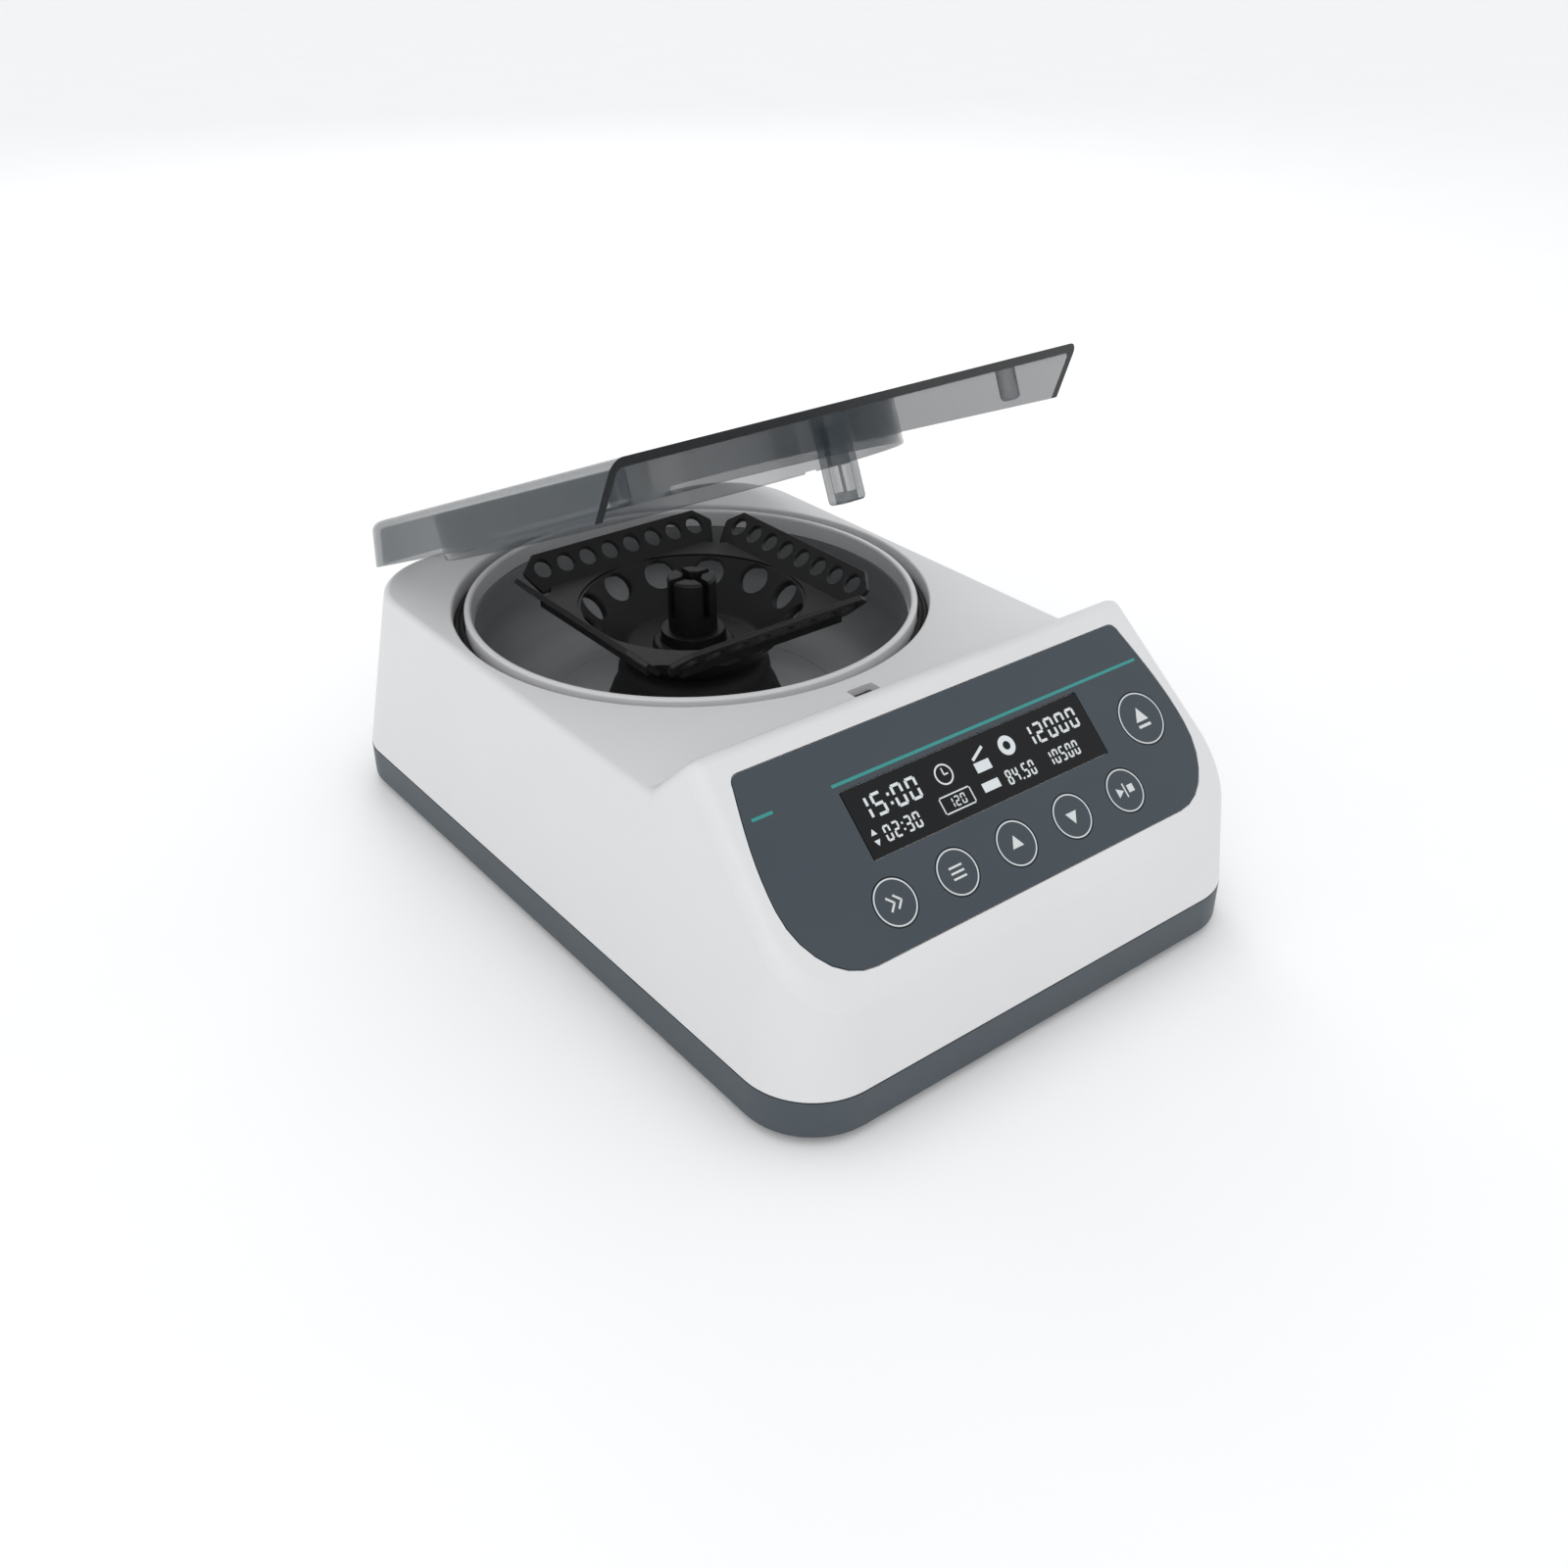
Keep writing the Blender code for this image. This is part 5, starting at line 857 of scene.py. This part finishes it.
lid_x, lid_y = LCD_LEFT + 0.52 * LCD_WIDE, LCD_TOP - 0.36 * LCD_HIGH
stroke(lid_x, lid_y - 1.6, 5.6, 3.0)
stroke(lid_x + 0.2, lid_y + 2.2, 5.8, 0.9, math.radians(28))
box_x, box_y = LCD_LEFT + 0.37 * LCD_WIDE, LCD_TOP - 0.735 * LCD_HIGH
for lift in (2.4, -2.4):
    stroke(box_x, box_y + lift, 10.7, 0.4)
for reach in (5.55, -5.55):
    stroke(box_x + reach, box_y, 0.4, 4.4)
stroke(LCD_LEFT + 0.513 * LCD_WIDE, box_y, 6.2, 2.7)
for lift, point in ((1.3, 0), (-1.3, 180)):
    bpy.ops.mesh.primitive_cylinder_add(vertices=3, radius=1.15 * MM, depth=INK_TOP - INK_LOW,
                                        location=((LCD_LEFT + 0.04 * LCD_WIDE) * MM, (box_y + lift) * MM,
                                                  (INK_LOW + INK_TOP) / 2),
                                        rotation=(0, 0, math.radians(point)))
bpy.ops.object.mode_set(mode="OBJECT")
set_in(segments, ON_PANEL)
finish_piece(segments, segment_ink, "case", "display")

# ================================================================ lid
# A smoke-grey lid of clear polycarbonate, hollow below, with a ring that shuts over the chamber's rim, a
# tube boss under each front corner, a latch tab and two hinge knuckles. It is drawn shut, then turned
# open about its hinge pins. Its sawn-square front edges get an opaque near-black finish: painted shade
# standing in for the dark that refraction gives the clear edges.
HINGE = Vector((0, 123.255 * MM, 69.5 * MM))
OPEN_LID = (Matrix.Translation(HINGE) @ Matrix.Rotation(math.radians(-23), 4, "X")
            @ Matrix.Translation(-HINGE))
smoke, smoke_shader, smoke_place = new_finish("smoke_polycarbonate", "2F3A41", 0.07, ior=1.5)
smoke_haze = add_node(smoke, "ShaderNodeTexNoise", {"Scale": 1 / (30 * MM), "Detail": 4.0},
                      {"Vector": smoke_place})
smoke_gloss = add_node(smoke, "ShaderNodeMapRange", {"To Min": 0.06, "To Max": 0.14},
                       {"Value": smoke_haze.outputs["Fac"]})
smoke_glance = add_node(smoke, "ShaderNodeLayerWeight", {"Blend": 0.35})
smoke_body = add_node(smoke, "ShaderNodeMapRange", {"To Min": 0.33, "To Max": 0.76},
                      {"Value": smoke_glance.outputs["Facing"]})
smoke.node_tree.links.new(smoke_gloss.outputs["Result"], smoke_shader.inputs["Roughness"])
smoke.node_tree.links.new(smoke_body.outputs["Result"], smoke_shader.inputs["Alpha"])
# painted shade: an opaque near-black finish for the lid's sawn front edges, in place of the dark that refraction
# gives them
edge_painted_shade, edge_shade_shader, edge_shade_place = new_finish("smoke_polycarbonate_edge_painted_shade", "121416", 0.35, ior=1.4)
edge_shade_streak = add_node(edge_painted_shade, "ShaderNodeTexNoise", {"Scale": 1 / (3 * MM), "Detail": 3.0},
                       {"Vector": edge_shade_place})
edge_shade_tint = add_node(edge_painted_shade, "ShaderNodeMix", {"data_type": "RGBA", "A": from_hex("0E1012"),
                                                  "B": from_hex("16191B")},
                     {"Factor": edge_shade_streak.outputs["Fac"]})
edge_painted_shade.node_tree.links.new(edge_shade_tint.outputs["Result"], edge_shade_shader.inputs["Base Color"])

LID_LOW = 75.3 * MM
LID_TOP = 89.6 * MM
FRONT_CUT = Vector((0, -1, -1)).normalized()
lid = case_form("lid_moulding", [(LID_LOW, 0.0), (LID_TOP, 0.0)])
bpy.ops.object.mode_set(mode="EDIT")
pick(lid, "EDGE", lambda place, edge: abs(edge.verts[0].co.z - LID_TOP) < 0.01 * MM
     and abs(edge.verts[1].co.z - LID_TOP) < 0.01 * MM)
bpy.ops.mesh.bevel(offset=3 * MM, segments=8, affect="EDGES", clamp_overlap=False)
bpy.ops.mesh.select_all(action="SELECT")
bpy.ops.mesh.bisect(plane_co=(0, -54.99 * MM, DECK), plane_no=FRONT_CUT, use_fill=True, clear_outer=True,
                    threshold=0.001 * MM)
bpy.ops.mesh.select_all(action="SELECT")
bpy.ops.mesh.normals_make_consistent(inside=False)
bpy.ops.object.mode_set(mode="OBJECT")
cavity = case_form("lid_cavity", [(LID_LOW - 5 * MM, 2.4 * MM), (LID_TOP - 2.4 * MM, 2.4 * MM)])
bpy.ops.object.mode_set(mode="EDIT")
pick(cavity, "EDGE", lambda place, edge: abs(edge.verts[0].co.z - LID_TOP + 2.4 * MM) < 0.01 * MM
     and abs(edge.verts[1].co.z - LID_TOP + 2.4 * MM) < 0.01 * MM)
bpy.ops.mesh.bevel(offset=1.5 * MM, segments=5, affect="EDGES", clamp_overlap=False)
bpy.ops.object.mode_set(mode="OBJECT")
carve(lid, cavity)
rings = [(76.5 * MM, 87.7 * MM), (76.5 * MM, 72.9 * MM), (76.2 * MM, 72.5 * MM), (75.7 * MM, 72.5 * MM),
         (75.4 * MM, 72.9 * MM), (75.4 * MM, 87.7 * MM)]
carve(lid, turn("lid_ring", AXIS, rings, 160), "UNION")
carve(lid, block("latch_tab", (-4.3 * MM, -53.7 * MM, 62.5 * MM), (4.3 * MM, -46.1 * MM, 87.7 * MM), 1.2 * MM,
                 lambda place, edge: upright(place, edge) or place.z < 63 * MM), "UNION")
for sx in (1, -1):
    rings = [(1.2 * MM, 77.7 * MM)] + arc((1.6 * MM, 79.1 * MM), 1.4 * MM, -90, 0, 6) + [(3 * MM, 87.7 * MM)]
    carve(lid, turn("corner_boss", (sx * 70 * MM, -49 * MM), rings, 40, closed=False), "UNION")
    bpy.ops.mesh.primitive_cylinder_add(vertices=48, radius=4.2 * MM, depth=18 * MM,
                                        rotation=(0, math.pi / 2, 0), location=HINGE + Vector((sx * 39 * MM, 0, 0)))
    carve(lid, take_new("knuckle"), "UNION")
    carve(lid, block("knuckle_arm", (sx * 39 * MM - 9 * MM, 119.77 * MM, 69.5 * MM),
                     (sx * 39 * MM + 9 * MM, 122.37 * MM, 80.3 * MM)), "UNION")
carve(lid, block("tab_core", (-2.5 * MM, -51.9 * MM, 55 * MM), (2.5 * MM, -47.9 * MM, 84.1 * MM)))
carve(lid, block("tab_window", (-2.3 * MM, -65 * MM, 65.55 * MM), (2.3 * MM, -35 * MM, 73.05 * MM)))
bpy.ops.mesh.primitive_cylinder_add(vertices=32, radius=1.9 * MM, depth=0.16, rotation=(0, math.pi / 2, 0),
                                    location=HINGE)
carve(lid, take_new("knuckle_bore"))
lid.data.materials.clear()
lid.data.materials.append(smoke)
lid.data.materials.append(edge_painted_shade)
only(lid)
bpy.ops.object.mode_set(mode="EDIT")
# the sawn front faces take the near-black painted shade
pick(lid, "FACE", lambda place, face: face.normal.dot(FRONT_CUT) > 0.999)
lid.active_material_index = 1
bpy.ops.object.material_slot_assign()
bpy.ops.object.mode_set(mode="OBJECT")
set_in(lid, OPEN_LID)
soften(lid)
finish_piece(lid, smoke, "lid", "smoked_lid", "lid_shell")

# ---------------------------------------------------------------- hinges
# A white bracket lies behind each knuckle, with an ear at each side of it and a plated pin through all.
for name, sx in (("right", 1), ("left", -1)):
    x = sx * 39 * MM
    bracket = block("bracket_" + name, (x - 13.3 * MM, 116.91 * MM, 61 * MM),
                    (x + 13.3 * MM, 122.41 * MM, 74.65 * MM), 0.5 * MM)
    bpy.ops.mesh.primitive_cylinder_add(vertices=48, radius=4.2 * MM, depth=26.6 * MM,
                                        rotation=(0, math.pi / 2, 0), location=HINGE + Vector((x, 0, 0)))
    carve(bracket, take_new("ears"), "UNION")
    carve(bracket, block("knuckle_room", (x - 9.3 * MM, 118.055 * MM, 64.3 * MM),
                         (x + 9.3 * MM, 0.14, 0.09)))
    bpy.ops.mesh.primitive_cylinder_add(vertices=32, radius=1.9 * MM, depth=0.04,
                                        rotation=(0, math.pi / 2, 0), location=HINGE + Vector((x, 0, 0)))
    carve(bracket, take_new("ear_bore"))
    soften(bracket)
    finish_piece(bracket, white_abs, "case", "white_case", "hinge_bracket_" + name)
    bpy.ops.mesh.primitive_cylinder_add(vertices=48, radius=1.6 * MM, depth=26.6 * MM,
                                        rotation=(0, math.pi / 2, 0), location=HINGE + Vector((x, 0, 0)))
    pin = take_new("pin_" + name)
    bpy.ops.object.mode_set(mode="EDIT")
    pick(pin, "EDGE", lambda place, edge: abs(edge.verts[0].co.x - edge.verts[1].co.x) < 0.001 * MM)
    bpy.ops.mesh.bevel(offset=0.3 * MM, segments=2, affect="EDGES", clamp_overlap=False)
    bpy.ops.object.mode_set(mode="OBJECT")
    soften(pin)
    finish_piece(pin, steel, "case", "bright_steel", "hinge_pin_" + name)

# ================================================================ power inlet and switch
# Black glass-filled nylon: a flanged three-pin inlet with plated blades, and a rocker in its bezel.
nylon = moulded_abs("black_glass_filled_nylon", "1B1B1D", "242426", 0.5, 0.4 * MM, 0.03 * MM)
inlet = block("inlet_socket_body", (31 * MM, -18.3 * MM, -10.25 * MM), (59 * MM, 1.4 * MM, 10.25 * MM))
carve(inlet, block("flange", (29 * MM, 0.3 * MM, -12.25 * MM), (61 * MM, 1.5 * MM, 12.25 * MM), 0.5 * MM,
                   lambda place, edge: place.y > 0.4 * MM), "UNION")
carve(inlet, block("socket", (33 * MM, -15 * MM, -8 * MM), (57 * MM, 15 * MM, 8 * MM), 1.5 * MM,
                   lambda place, edge: abs(edge.verts[0].co.y - edge.verts[1].co.y) > 0.01))
set_in(inlet, ON_REAR)
soften(inlet)
finish_piece(inlet, nylon, "case", "black_plastic", "power_inlet")
for number, (x, z) in enumerate(((-7, 1.5), (0, -2.5), (7, 1.5))):
    blade = block(f"inlet_blade_{number}", ((44 + x) * MM, -15.5 * MM, (z - 2) * MM),
                  ((46 + x) * MM, -4 * MM, (z + 2) * MM), 0.3 * MM, lambda place, edge: place.y > -12 * MM)
    set_in(blade, ON_REAR)
    soften(blade)
    finish_piece(blade, steel, "case", "bright_steel")
switch = block("switch_frame", (-54.5 * MM, -13.1 * MM, -6.25 * MM), (-35.5 * MM, 1.4 * MM, 6.25 * MM))
carve(switch, block("bezel", (-56 * MM, 0.3 * MM, -7.75 * MM), (-34 * MM, 1.5 * MM, 7.75 * MM), 0.5 * MM,
                    lambda place, edge: place.y > 0.4 * MM), "UNION")
carve(switch, block("switch_well", (-53.3 * MM, -7 * MM, -6.2 * MM), (-36.7 * MM, 15 * MM, 6.2 * MM)))
set_in(switch, ON_REAR)
soften(switch)
finish_piece(switch, nylon, "case", "black_plastic", "switch_body")
ON_ROCKER = (ON_REAR @ Matrix.Translation((-45 * MM, -1.5 * MM, 0))
             @ Matrix.Rotation(math.radians(8), 4, "X"))
rocker = block("switch_rocker", (-8 * MM, -3.5 * MM, -5 * MM), (8 * MM, 3.2 * MM, 5 * MM))
dip = set_in(drum("dip", 17.0 * MM, -12 * MM, 12 * MM, (0, 0), 160),
             Matrix.Translation((0, 19.4 * MM, 0)), Matrix.Rotation(math.pi / 2, 4, "Y"))
carve(rocker, dip)
bpy.ops.object.mode_set(mode="EDIT")
pick(rocker, "VERT", lambda place, vert: place.y < -3 * MM)
bpy.ops.transform.resize(value=(1, 1, 0.3), center_override=(0, -3.5 * MM, 0))
bpy.ops.object.mode_set(mode="OBJECT")
set_in(rocker, ON_ROCKER)
soften(rocker)
finish_piece(rocker, nylon, "rocker", "black_plastic", "power_rocker")

# ================================================================ inner parts, as packed
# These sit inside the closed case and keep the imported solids: the boards get green solder mask, the
# motor's parts plated steel, the mounts rubber, the display's frame and the latch black nylon.
mask, mask_shader, mask_place = new_finish("green_solder_mask", "1F5A3A", 0.4)
mask_cells = add_node(mask, "ShaderNodeTexVoronoi", {"Scale": 1 / (3 * MM)}, {"Vector": mask_place})
mask_tint = add_node(mask, "ShaderNodeMix", {"data_type": "RGBA", "A": from_hex("1B5034"),
                                             "B": from_hex("2C6B47")},
                     {"Factor": mask_cells.outputs["Distance"]})
mask.node_tree.links.new(mask_tint.outputs["Result"], mask_shader.inputs["Base Color"])
INNER = {"control_board": mask, "power_board": mask, "motor": steel, "motor_plate": steel,
         "latch_bolt": steel, "display_module": nylon, "latch_body": nylon,
         **{f"shock_mount_{i}": rubber for i in range(4)}}
for name, finish in INNER.items():
    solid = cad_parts[name]
    solid.data.materials.clear()
    solid.data.materials.append(finish)
